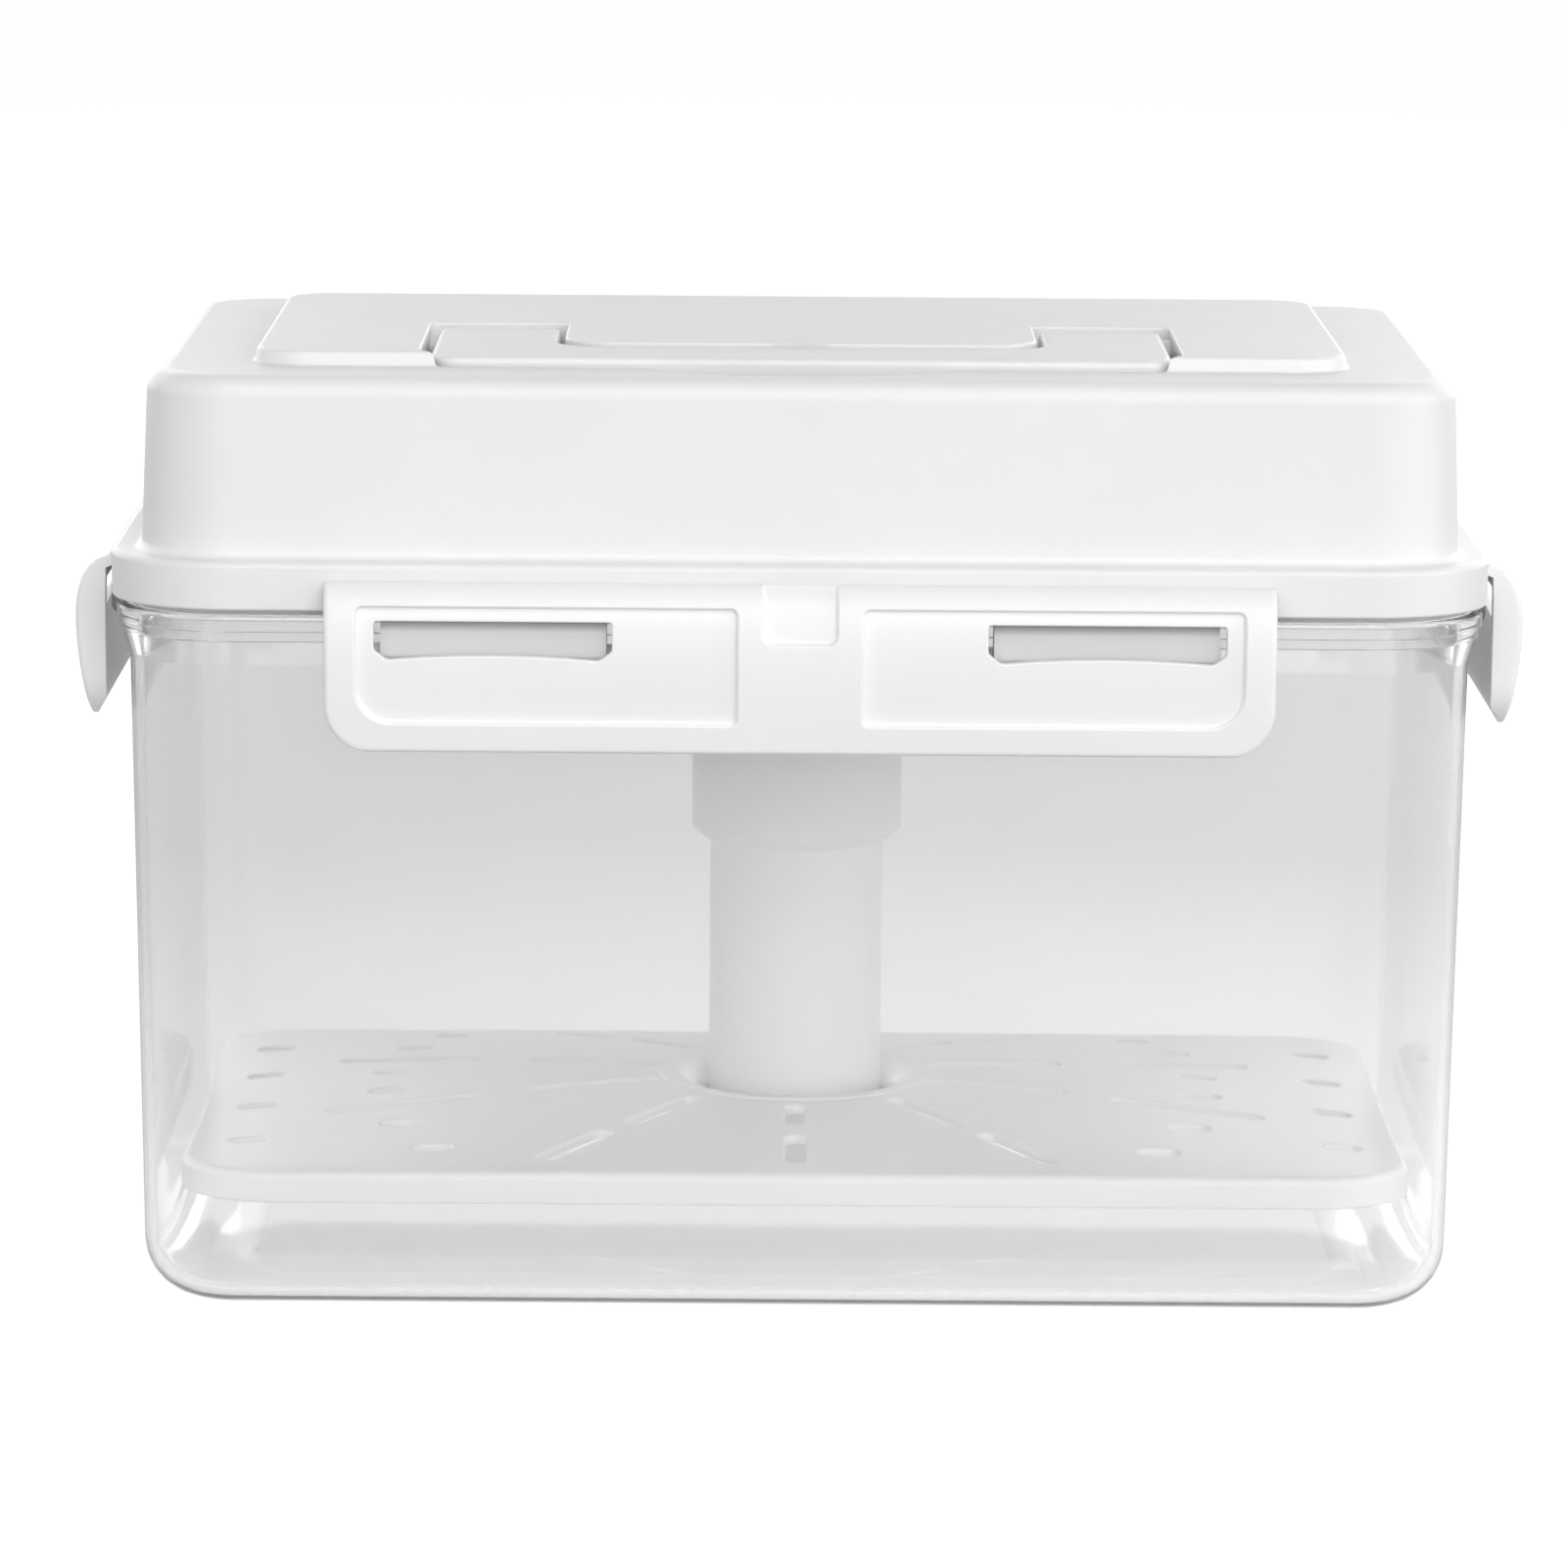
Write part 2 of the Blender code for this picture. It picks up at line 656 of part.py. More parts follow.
def leaf_curve():
    """The outer face of a latch in section, as (outwards, up) from the hinge line."""
    first, second = LEAF_CONTROL_SHARES
    controls = [
        Vector((0, HINGE_RADIUS)),
        Vector((LATCH_BULGE * first[0], -LATCH_DROP * first[1])),
        Vector((LATCH_BULGE * second[0], -LATCH_DROP * second[1])),
        Vector((LATCH_TIP_REACH + LATCH_TIP_RADIUS, LATCH_TIP_RADIUS - LATCH_DROP)),
    ]
    weights = (1, 3, 3, 1)
    points = []
    for step in range(CURVE_STEPS + 1):
        t = step / CURVE_STEPS
        point = Vector((0, 0))
        for power, (control, weight) in enumerate(zip(controls, weights)):
            point += control * (weight * t**power * (1 - t) ** (3 - power))
        points.append(tuple(point))
    return points


def roll_reach(up):
    """How far the round hinge bead reaches outwards at a height."""
    return math.sqrt(max(HINGE_RADIUS**2 - up**2, 0))


def latch_tool(name, outlines, depth_low, depth_high):
    """Prisms on outlines of (along, up), driven through a latch from inside to outside."""
    frame = Matrix(((1, 0, 0, 0), (0, 0, -1, 0), (0, 1, 0, 0), (0, 0, 0, 1)))
    return prism(name, outlines, depth_low, depth_high, cutters, frame)


def latch_mesh(name, half, panels, slots, notch):
    """One latch about its own hinge line, facing the front; panels are (left, right), slots are centres."""
    curve = leaf_curve()
    tip = arc(LATCH_TIP_REACH, LATCH_TIP_RADIUS - LATCH_DROP, LATCH_TIP_RADIUS, 0, -180)
    inner_start = LATCH_TIP_RADIUS + PANEL_DEPTH + LATCH_SKIN
    section = curve + tip[1:] + [(LATCH_INSIDE, inner_start - LATCH_DROP), (LATCH_INSIDE, -HINGE_RADIUS)]
    section += arc(0, 0, HINGE_RADIUS, 300, 120, CURVE_STEPS)
    leaf = prism(name, [section], -half, half, cutters, face_frame(0, 0))

    low = -LATCH_DROP - OVERRUN
    shape = rounded([
        (half, -LATCH_DROP, LATCH_CORNER),
        (half, HINGE_RADIUS * 2, LATCH_TOP_CORNER),
        (-half, HINGE_RADIUS * 2, LATCH_TOP_CORNER),
        (-half, -LATCH_DROP, LATCH_CORNER),
    ])
    reach = LATCH_BULGE + OVERRUN
    shape_tool = latch_tool(name + "_shape", [shape], -reach, reach)

    skin = PANEL_DEPTH + LATCH_SKIN
    back = [(-reach, -LATCH_LAND), (tip_inside, -LATCH_LAND)]
    back += [(max(out - skin, tip_inside), up) for out, up in curve if up < -LATCH_LAND]
    back += [(tip_inside, low), (-reach, low)]
    hollow_half = half - LATCH_END_WALL
    hollow = prism(name + "_hollow", [back], -hollow_half, hollow_half, cutters, face_frame(0, 0))
    carve(leaf, hollow)
    carve(leaf, shape_tool, "INTERSECT")

    outlines = []
    panel_low = -PANEL_TOP - PANEL_HEIGHT
    for sides in panels:
        left_foot, right_foot = [
            PANEL_FOOT_CORNER if abs(side) > half - 2 * PANEL_MARGIN else PANEL_CORNER for side in sides
        ]
        outlines.append(rounded([
            (sides[0], -PANEL_TOP, PANEL_CORNER),
            (sides[0], panel_low, left_foot),
            (sides[1], panel_low, right_foot),
            (sides[1], -PANEL_TOP, PANEL_CORNER),
        ]))
    if notch:
        half_notch = NOTCH_WIDTH / 2
        outlines.append(rounded([
            (-half_notch, HINGE_RADIUS + OVERRUN, 0),
            (-half_notch, -NOTCH_HEIGHT, NOTCH_CORNER),
            (half_notch, -NOTCH_HEIGHT, NOTCH_CORNER),
            (half_notch, HINGE_RADIUS + OVERRUN, 0),
        ]))
    panel_tool = latch_tool(name + "_panels", outlines, 0, reach)
    core = [(max(out - PANEL_DEPTH, roll_reach(up)), up) for out, up in curve]
    core += [(-reach, low), (-reach, HINGE_RADIUS)]
    core_half = half + OVERRUN
    core_tool = prism(name + "_core", [core], -core_half, core_half, cutters, face_frame(0, 0))
    carve(panel_tool, core_tool)
    carve(leaf, panel_tool)

    slot_outlines = []
    slot_from, slot_to = slot_high - hinge_z, slot_low - hinge_z
    for centre in slots:
        left = centre - SLOT_LENGTH / 2
        right = centre + SLOT_LENGTH / 2
        slot_outlines.append(rounded([
            (left, slot_from, SLOT_CORNER),
            (left, slot_to, SLOT_CORNER),
            (right, slot_to, SLOT_CORNER),
            (right, slot_from, SLOT_CORNER),
        ], ARC_STEPS // 2))
    carve(leaf, latch_tool(name + "_slots", slot_outlines, 0, reach))
    return evaluated_mesh(leaf, name)


def make_latches():
    """Long latches at the front and back, short ones at the sides."""
    half_gap = PANEL_GAP / 2
    long_end = front_latch_half - PANEL_MARGIN
    short_end = side_latch_half - PANEL_MARGIN
    long_panels = [(-long_end, -half_gap), (half_gap, long_end)]
    long_latch = latch_mesh("long_latch", front_latch_half, long_panels, [-front_slot, front_slot], True)
    short_latch = latch_mesh("short_latch", side_latch_half, [(-short_end, short_end)], [0], False)
    sides = (
        ("front_latch", long_latch, 0, rim_half_y),
        ("right_latch", short_latch, 90, rim_half_x),
        ("back_latch", long_latch, 180, rim_half_y),
        ("left_latch", short_latch, 270, rim_half_x),
    )
    latches = []
    for name, mesh, turn, distance in sides:
        latch = add_object(name, mesh.copy(), parts)
        spin = math.radians(turn)
        reach = distance + hinge_standoff
        latch.location = (reach * math.sin(spin), -reach * math.cos(spin), hinge_z)
        latch.rotation_euler = (0, 0, spin)
        latches.append(paint(latch, (0.9, 0.9, 0.9), 0.3))
    return latches


def make_sleeve():
    """The upper column, fixed in the lid's socket, with a narrow guide at its foot."""
    guide = tube_radius + RUNNING_GAP
    foot = guide + SLEEVE_FOOT_WALL
    profile = [
        (sleeve_radius, sleeve_top),
        (sleeve_radius, sleeve_bottom + SLEEVE_CHAMFER_HEIGHT),
        (foot, sleeve_bottom),
        (guide, sleeve_bottom),
        (guide, guide_top),
        (sleeve_bore, guide_top),
        (sleeve_bore, sleeve_top),
    ]
    return paint(turned("column_sleeve", profile, parts), (0.88, 0.89, 0.9), 0.35)


def make_tube():
    """The lower column, with the bead that stops it in the sleeve."""
    bore = tube_radius - TUBE_WALL
    profile = [
        (tube_bead, tube_top),
        (tube_bead, tube_top - TUBE_BEAD_HEIGHT),
        (tube_radius, tube_top - TUBE_BEAD_HEIGHT),
        (tube_radius, tube_bottom),
        (bore, tube_bottom),
        (bore, tube_top),
    ]
    return paint(turned("press_tube", profile, parts), (0.88, 0.89, 0.9), 0.35)


def make_spring():
    """The coil inside the column, between the plate's hub and the lid."""
    wire = SPRING_WIRE / 2
    radius = tube_radius - TUBE_WALL - SPRING_PLAY - wire
    low = hub_floor + TOUCH_GAP + wire
    high = lid_roof - TOUCH_GAP - wire
    points_per_turn = 10
    count = SPRING_TURNS * points_per_turn
    curve = bpy.data.curves.new("press_spring", "CURVE")
    curve.dimensions = "3D"
    curve.bevel_depth = wire
    curve.bevel_resolution = 1
    curve.use_fill_caps = True
    spline = curve.splines.new("POLY")
    spline.points.add(count)
    for index, point in enumerate(spline.points):
        share = index / count
        angle = 2 * math.pi * SPRING_TURNS * share
        height = low + (high - low) * share
        point.co = (radius * math.cos(angle), radius * math.sin(angle), height, 1)
    return paint(finish_mesh("press_spring", mesh_from_curve("coil", curve), parts), (0.6, 0.6, 0.62), 0.3)


def slot_outline(x, y, length, width, angle):
    """A slot with round ends, turned by an angle in degrees."""
    frame = Matrix.Rotation(math.radians(angle), 2)
    half = (length - width) / 2
    ends = arc(half, 0, width / 2, -90, 90, 3) + arc(-half, 0, width / 2, 90, 270, 3)
    return [tuple(frame @ Vector(end) + Vector((x, y))) for end in ends]


def plate_slots():
    """Every slot of the press plate: long ones along rays from the column, short ones near the edges."""
    run = plate_half_y - flare_radius
    outlines = []
    for angle, *spans in RAY_SHARES:
        rays = {angle, 180 - angle, 180 + angle, 360 - angle}
        for ray in sorted(rays):
            for start_share, end_share in spans:
                centre = flare_radius + run * (start_share + end_share) / 2
                length = run * (end_share - start_share)
                x = centre * math.cos(math.radians(ray))
                y = centre * math.sin(math.radians(ray))
                outlines.append(slot_outline(x, y, length, RAY_SLOT_WIDTH, ray))
    for share_x, share_y in SHORT_SLOT_SHARES:
        for sign_x in (-1, 1):
            for sign_y in (-1, 1):
                x = sign_x * share_x * plate_half_x
                y = sign_y * share_y * plate_half_y
                outlines.append(slot_outline(x, y, SHORT_SLOT_LENGTH, SHORT_SLOT_WIDTH, 0))
    return outlines


def crown_height(x, y):
    """The height of the plate's upper face: a gentle crown that runs level into the round cup."""
    fall_x = 1 - (x / plate_half_x) ** 2
    fall_y = 1 - (y / plate_half_y) ** 2
    crown = plate_edge + PLATE_CROWN * max(fall_x, 0) * max(fall_y, 0)
    away = (math.hypot(x, y) - flare_radius) / HUB_APRON
    return plate_ridge + (crown - plate_ridge) * min(max(away, 0), 1)


def space_over_crown(name, drop):
    """Everything over the plate's upper face, or over a face lower by a drop."""
    bm = bmesh.new()
    bmesh.ops.create_grid(bm, x_segments=20, y_segments=12, size=1.0)
    bmesh.ops.scale(bm, vec=(plate_half_x + OVERRUN, plate_half_y + OVERRUN, 1), verts=bm.verts)
    for vert in bm.verts:
        vert.co.z = crown_height(vert.co.x, vert.co.y) - drop
    raised = bmesh.ops.extrude_face_region(bm, geom=bm.faces[:])["geom"]
    for vert in raised:
        if isinstance(vert, bmesh.types.BMVert):
            vert.co.z = sleeve_bottom
    return finish_mesh(name, bm, cutters)


def make_plate():
    """The press plate: a crowned sheet with a turned-down edge and a cup for the tube's foot."""
    skirt_low = plate_edge - PLATE_SKIRT
    crown_top = plate_edge + PLATE_CROWN
    plate = stepped_box(
        "press_plate",
        plate_half_x,
        plate_half_y,
        PLATE_CORNER,
        [(0, skirt_low), (0, crown_top + OVERRUN)],
        parts,
    )
    hollow = stepped_box(
        "plate_hollow",
        plate_half_x - PLATE_WALL,
        plate_half_y - PLATE_WALL,
        PLATE_CORNER - PLATE_WALL,
        [(0, skirt_low - OVERRUN), (0, crown_top)],
        cutters,
    )
    carve(hollow, space_over_crown("space_in_crown", PLATE_WALL))
    carve(plate, space_over_crown("space_over_plate", 0))
    carve(plate, hollow)

    hub_hole = [
        (0, sleeve_bottom),
        (flare_radius, sleeve_bottom),
        (flare_radius, hub_bottom),
        (0, hub_bottom),
    ]
    carve(plate, turned("hub_hole", hub_hole, cutters, closed=False))
    rim = flare_radius + HUB_RIM
    rim_high = plate_ridge + HUB_BEAD
    rim_low = plate_ridge - PLATE_WALL - HUB_BEAD
    cup = [(0, hub_floor), (hub_radius, hub_floor)]
    cup += arc(flare_radius, rim_high - HUB_FLARE, HUB_FLARE, 180, 90)
    cup += [(rim, rim_high), (rim, rim_low)]
    cup += arc(flare_radius, rim_high - HUB_FLARE, HUB_FLARE - PLATE_WALL, 90, 180)
    cup += [(hub_radius + PLATE_WALL, hub_bottom), (0, hub_bottom)]
    carve(plate, turned("hub_cup", cup, cutters, closed=False), "UNION")

    slots = prism("plate_slots", plate_slots(), hub_bottom, sleeve_bottom, cutters)
    carve(plate, slots)
    return paint(plate, (0.87, 0.88, 0.88), 0.35)


for old in list(bpy.data.objects):
    bpy.data.objects.remove(old, do_unlink=True)
parts = collection("pickle_container")
cutters = collection("cutters")
make_tub()
lid_shell = make_lid_shell()
carried = [make_gasket(), make_handle(), make_sleeve(), make_spring(), *make_latches()]
plunger = make_tube()
make_plate().parent = plunger
plunger.parent = lid_shell
for piece in carried:
    piece.parent = lid_shell
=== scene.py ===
"""Looks of the pickle container: fine pieces with their finishes, studio light and the camera.

Metres, +Z up, the front faces -Y, and the origin is the centre of the face that the tub stands on.
"""

import math

import bmesh
import bpy
from mathutils import Matrix, Vector


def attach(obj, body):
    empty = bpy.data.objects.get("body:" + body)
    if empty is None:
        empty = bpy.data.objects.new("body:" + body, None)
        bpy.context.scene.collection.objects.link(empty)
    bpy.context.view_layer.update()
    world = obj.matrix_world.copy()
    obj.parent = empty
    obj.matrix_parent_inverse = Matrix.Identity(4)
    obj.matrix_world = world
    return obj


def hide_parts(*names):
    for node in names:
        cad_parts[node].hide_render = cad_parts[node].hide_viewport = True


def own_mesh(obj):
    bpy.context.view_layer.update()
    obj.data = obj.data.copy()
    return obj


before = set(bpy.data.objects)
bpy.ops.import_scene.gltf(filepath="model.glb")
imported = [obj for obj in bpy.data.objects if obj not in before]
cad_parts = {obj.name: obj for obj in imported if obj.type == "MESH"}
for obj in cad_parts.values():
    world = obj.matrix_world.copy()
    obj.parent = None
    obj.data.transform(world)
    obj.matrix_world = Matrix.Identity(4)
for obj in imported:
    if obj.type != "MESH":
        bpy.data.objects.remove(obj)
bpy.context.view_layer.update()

# Shared by several pieces
TOUCH_GAP = 0.0003
RUNNING_GAP = 0.0003
OVERRUN = 0.004
PROUD = 0.00001
EDGE_EASE = 0.0006
WELD_DISTANCE = 0.00001

# Tub
TUB_WIDTH = 0.2503
TUB_DEPTH = 0.1514
TUB_HEIGHT = 0.1378
TUB_CORNER = 0.0197
TUB_WALL = 0.0022
TUB_FLOOR = 0.0025
TUB_LEAN = 0.0020
FOOT_FILLET = 0.011
FOOT_RING = 0.009
FOOT_RECESS = 0.0003
RECESS_CORNER = 0.009
FLARE_HEIGHT = 0.0047
FLARE_REACH = 0.0014
BAND_HEIGHT = 0.0019
BAND_REACH = 0.0019
BEAD_HEIGHT = 0.0029
BEAD_REACH = 0.0025
BEAD_GAP = 0.0012
NECK_STEP = 0.0007
FLARE_ROUND = 0.0015
STEP_ROUND = 0.0002
BEAD_ROUND = 0.0008
NECK_ROUND = 0.0003
INNER_ROUND = 0.003
RECESS_SLOPE = 0.0045
RECESS_ROUND = 0.0015

# Lid
LID_WALL = 0.0022
LID_PLAY = 0.00065
SKIRT_WALL = 0.0020
RIM_HEIGHT = 0.0089
RIM_ROUND = 0.0012
PLUG_GAP = 0.00075
PLUG_WALL = 0.0018
PLUG_HEIGHT = 0.0094
GASKET_THICKNESS = 0.0020
DOME_HEIGHT = 0.0337
DOME_LEAN = 0.0013
DOME_FOOT_FILLET = 0.0016
DOME_ROUND = 0.0042
PLATEAU_END_MARGIN = 0.0191
PLATEAU_SIDE_MARGIN = 0.0182
PLATEAU_HEIGHT = 0.0028
PLATEAU_CORNER = 0.010
PLATEAU_LEAN = 0.0006
PLATEAU_ROUND = 0.0010
PLATEAU_FOOT = 0.0006
CHANNEL_ROUND = 0.0004
INSIDE_ROUND = 0.001

# Handle and its well
HANDLE_WIDTH = 0.1390
HANDLE_ARM = 0.0235
HANDLE_GRIP = 0.0183
HANDLE_THICKNESS = 0.0083
HANDLE_CORNER = 0.0060
HANDLE_SINK = 0.0008
HANDLE_EASE = 0.0014
GRIP_CORNER = 0.0102
WELL_SIDE_GAP = 0.0018
WELL_GAP = 0.0012
WELL_FLOOR_GAP = 0.0005
WELL_REAR_CORNER = 0.0020
WELL_FLOOR_ROUND = 0.0008
PIVOT_SETBACK = 0.0062
PIN_RADIUS = 0.0030
PIN_DEPTH = 0.0026
PIN_PLAY = 0.0003
PIN_BOSS_WALL = 0.0014
SCOOP_HALF_LENGTH = 0.030
SCOOP_DEPTH = 0.016
SCOOP_SETBACK = 0.0040
SCOOP_MARGIN = 0.0062

# Latches, measured from the hinge line
FRONT_LATCH_INSET = 0.0411
SIDE_LATCH_INSET = 0.0315
HINGE_RADIUS = 0.0011
HINGE_DROP = 0.0042
LATCH_DROP = 0.0300
LATCH_BULGE = 0.00643
LATCH_INSIDE = 0.0006
LATCH_TIP_RADIUS = 0.0008
LATCH_TIP_REACH = 0.0032
LATCH_CORNER = 0.0085
LATCH_END_WALL = 0.0022
LATCH_SKIN = 0.0018
LATCH_LAND = 0.0032
LATCH_FLAT_DEPTH = 0.010
LATCH_EASE = 0.0011
LATCH_FACE_IN = 0.002
HOLLOW_ROUND = 0.001
POCKET_ROUND = 0.0005
PANEL_TOP = 0.0029
PANEL_HEIGHT = 0.0215
PANEL_MARGIN = 0.0059
PANEL_GAP = 0.0232
PANEL_DEPTH = 0.0014
PANEL_CORNER = 0.0012
PANEL_FOOT_CORNER = 0.0065
SLOT_BELOW_RIM = 0.0009
SLOT_HEIGHT = 0.0062
SLOT_LENGTH = 0.0437
SLOT_MARGIN = 0.0033
SLOT_CORNER = 0.0006
SLOT_ARCH = 0.0009
SLOT_FOOT_IN = 0.0024
SLOT_ARCH_SHARES = (-1, -0.67, -0.33, 0, 0.33, 0.67, 1)
SLOT_BRIM = 0.0005
SLOT_BRIM_ROUND = 0.0004
NOTCH_WIDTH = 0.0136
NOTCH_HEIGHT = 0.0092
NOTCH_CORNER = 0.0018
ROLL_TOP = 0.96
TIP_TURN = 80
THINNEST_SKIN = 0.9
LEAF_CONTROL_SHARES = ((1.35, 0.02), (1.08, 0.467))
LUG_PLAY = 0.0011
LUG_TOP_DROP = 0.0003
LUG_SLOPE = 0.0010
LUG_CLEARANCE = 0.0005

# Column and press plate
TUBE_DIAMETER = 0.0336
TUBE_WALL = 0.0020
TUBE_BEAD_REACH = 0.0011
TUBE_BEAD_HEIGHT = 0.0040
SLEEVE_WALL = 0.0022
SLEEVE_CHAMFER_HEIGHT = 0.0021
SLEEVE_FOOT_WALL = 0.0008
GUIDE_LENGTH = 0.0130
SOCKET_WALL = 0.0025
SOCKET_DEPTH = 0.0140
SPRING_WIRE = 0.0018
SPRING_PLAY = 0.0014
SPRING_TURNS = 11
SPRING_STEPS = 40
SPRING_SIDES = 14
PRESS_TRAVEL = 0.0470
PLATE_CLEARANCE = 0.0040
PLATE_CORNER = 0.018
PLATE_WALL = 0.0020
PLATE_SKIRT = 0.0060
PLATE_CROWN = 0.0065
PLATE_LIFT = 0.0115
PLATE_EASE = 0.0016
PLATE_STRIP = 0.004
HUB_DROP = 0.0118
HUB_FLARE = 0.008
HUB_RIM = 0.0015
HUB_BEAD = 0.0003
HUB_APRON = 0.018
RIDGE_SHARE = 0.88
SLEEVE_ROUND = 0.0008
TUBE_ROUND = 0.0005
TUBE_FOOT_ROUND = 0.0004
FINE_ROUND = 0.0003
PLATE_INSIDE_ROUND = 0.001
PLATE_FOOT_ROUND = 0.0005
PLATE_FACE_IN = 0.003
RAY_SLOT_WIDTH = 0.0038
SHORT_SLOT_LENGTH = 0.0075
SHORT_SLOT_WIDTH = 0.0042
SLOT_END_SHARE = 0.98
SLOT_FLARE_BELOW = 0.0006
SLOT_ROUND_BELOW = 0.0005
SLOT_FLARE_ABOVE = 0.0009
SLOT_ROUND_ABOVE = 0.0007
RAY_SHARES = (
    (15, (0.02, 0.70), (0.92, 1.62)),
    (51, (0.12, 0.61), (0.75, 1.22)),
    (90, (0.12, 0.38), (0.52, 0.85)),
)
SHORT_SLOT_SHARES = ((0.895, 0.212), (0.895, 0.636), (0.681, 0.130), (0.650, 0.519), (0.591, 0.779))

# Fineness
CORNER_STEPS = 20
EASE_STEPS = 5
LEAF_STEPS = 30
ROUND_SIDES = 96
ROUND_PROFILE = 0.5
SHARP_ANGLE = 32

# Sizes that follow from those above
tub_half_x = TUB_WIDTH / 2
tub_half_y = TUB_DEPTH / 2
rim_reach = NECK_STEP + LID_PLAY + SKIRT_WALL
rim_ledge = rim_reach - NECK_STEP + TUB_WALL + PLUG_GAP
rim_half_x = tub_half_x + rim_reach
rim_half_y = tub_half_y + rim_reach
rim_corner = TUB_CORNER + rim_reach
channel_roof = TUB_HEIGHT + TOUCH_GAP + GASKET_THICKNESS + TOUCH_GAP
rim_top = channel_roof + LID_WALL
rim_bottom = rim_top - RIM_HEIGHT
dome_top = rim_top + DOME_HEIGHT
plateau_top = dome_top + PLATEAU_HEIGHT
dome_half_x = rim_half_x - rim_ledge - DOME_LEAN
dome_half_y = rim_half_y - rim_ledge - DOME_LEAN
plateau_half_x = dome_half_x - PLATEAU_END_MARGIN
plateau_half_y = dome_half_y - PLATEAU_SIDE_MARGIN
lid_roof = plateau_top - LID_WALL
bead_top = rim_bottom - BEAD_GAP
bead_low = bead_top - BEAD_HEIGHT
band_low = bead_low - BAND_HEIGHT
flare_low = band_low - FLARE_HEIGHT

hinge_standoff = HINGE_RADIUS + TOUCH_GAP
hinge_z = rim_top - HINGE_DROP
slot_high = rim_bottom - SLOT_BELOW_RIM
slot_low = slot_high - SLOT_HEIGHT
tip_inside = LATCH_TIP_REACH - LATCH_TIP_RADIUS
front_latch_half = rim_half_x - FRONT_LATCH_INSET
side_latch_half = rim_half_y - SIDE_LATCH_INSET
front_slot = front_latch_half - PANEL_MARGIN - SLOT_MARGIN - SLOT_LENGTH / 2

hub_bottom = TUB_FLOOR + PLATE_LIFT
hub_floor = hub_bottom + PLATE_WALL
plate_edge = hub_bottom + HUB_DROP
plate_ridge = plate_edge + PLATE_CROWN * RIDGE_SHARE
plate_half_x = tub_half_x - TUB_LEAN - TUB_WALL - PLATE_CLEARANCE
plate_half_y = tub_half_y - TUB_LEAN - TUB_WALL - PLATE_CLEARANCE
sleeve_bottom = plate_ridge + PRESS_TRAVEL + TOUCH_GAP
sleeve_top = lid_roof - TOUCH_GAP
guide_top = sleeve_bottom + GUIDE_LENGTH
tube_radius = TUBE_DIAMETER / 2
tube_bead = tube_radius + TUBE_BEAD_REACH
sleeve_bore = tube_bead + RUNNING_GAP
sleeve_radius = sleeve_bore + SLEEVE_WALL
tube_bottom = hub_floor + TOUCH_GAP
tube_top = guide_top + TOUCH_GAP + TUBE_BEAD_HEIGHT
hub_radius = tube_radius + TOUCH_GAP
flare_radius = hub_radius + HUB_FLARE

handle_top = plateau_top - HANDLE_SINK
handle_low = handle_top - HANDLE_THICKNESS
handle_front = plateau_half_y
handle_rear = PIVOT_SETBACK - HANDLE_THICKNESS / 2
scoop_back = handle_front - SCOOP_SETBACK
scoop_half_width = dome_half_y - SCOOP_MARGIN - scoop_back
pivot_z = handle_top - HANDLE_THICKNESS / 2
well_half_width = HANDLE_WIDTH / 2 + WELL_SIDE_GAP
pin_reach = well_half_width + PIN_DEPTH


def eased(corners, closed=False, steps=EASE_STEPS):
    """A line through corners of (a, b, radius), each rounded by its radius."""
    line = []
    last = len(corners) - 1
    for index, (a, b, radius) in enumerate(corners):
        if radius == 0 or (not closed and index in (0, last)):
            line.append((a, b))
            continue
        corner = Vector((a, b))
        before = (Vector(corners[index - 1][:2]) - corner).normalized()
        after = (Vector(corners[(index + 1) % len(corners)][:2]) - corner).normalized()
        half_angle = before.angle(after) / 2
        centre = corner + (before + after).normalized() * (radius / math.sin(half_angle))
        start = corner + before * (radius / math.tan(half_angle)) - centre
        turn = start.angle_signed(corner + after * (radius / math.tan(half_angle)) - centre)
        for step in range(steps + 1):
            spoke = start.copy()
            spoke.rotate(Matrix.Rotation(-turn * step / steps, 2))
            line.append(tuple(centre + spoke))
    return line


def to_mesh(bm, name):
    """A mesh from a closed bmesh, its faces pointing out."""
    bmesh.ops.remove_doubles(bm, verts=bm.verts, dist=WELD_DISTANCE / 10)
    bmesh.ops.recalc_face_normals(bm, faces=bm.faces)
    mesh = bpy.data.meshes.new(name)
    bm.to_mesh(mesh)
    bm.free()
    return mesh


def moved(mesh, matrix):
    """A copy of a mesh in another place."""
    copy = mesh.copy()
    copy.transform(matrix)
    if matrix.determinant() < 0:
        copy.flip_normals()
    return copy


def joined(name, *meshes):
    """Several meshes as one."""
    bm = bmesh.new()
    for mesh in meshes:
        bm.from_mesh(mesh)
    mesh = bpy.data.meshes.new(name)
    bm.to_mesh(mesh)
    bm.free()
    return mesh


def rectangle(half_x, half_y, radius):
    """Corners of a rounded rectangle."""
    return [
        (-half_x, -half_y, radius),
        (half_x, -half_y, radius),
        (half_x, half_y, radius),
        (-half_x, half_y, radius),
    ]


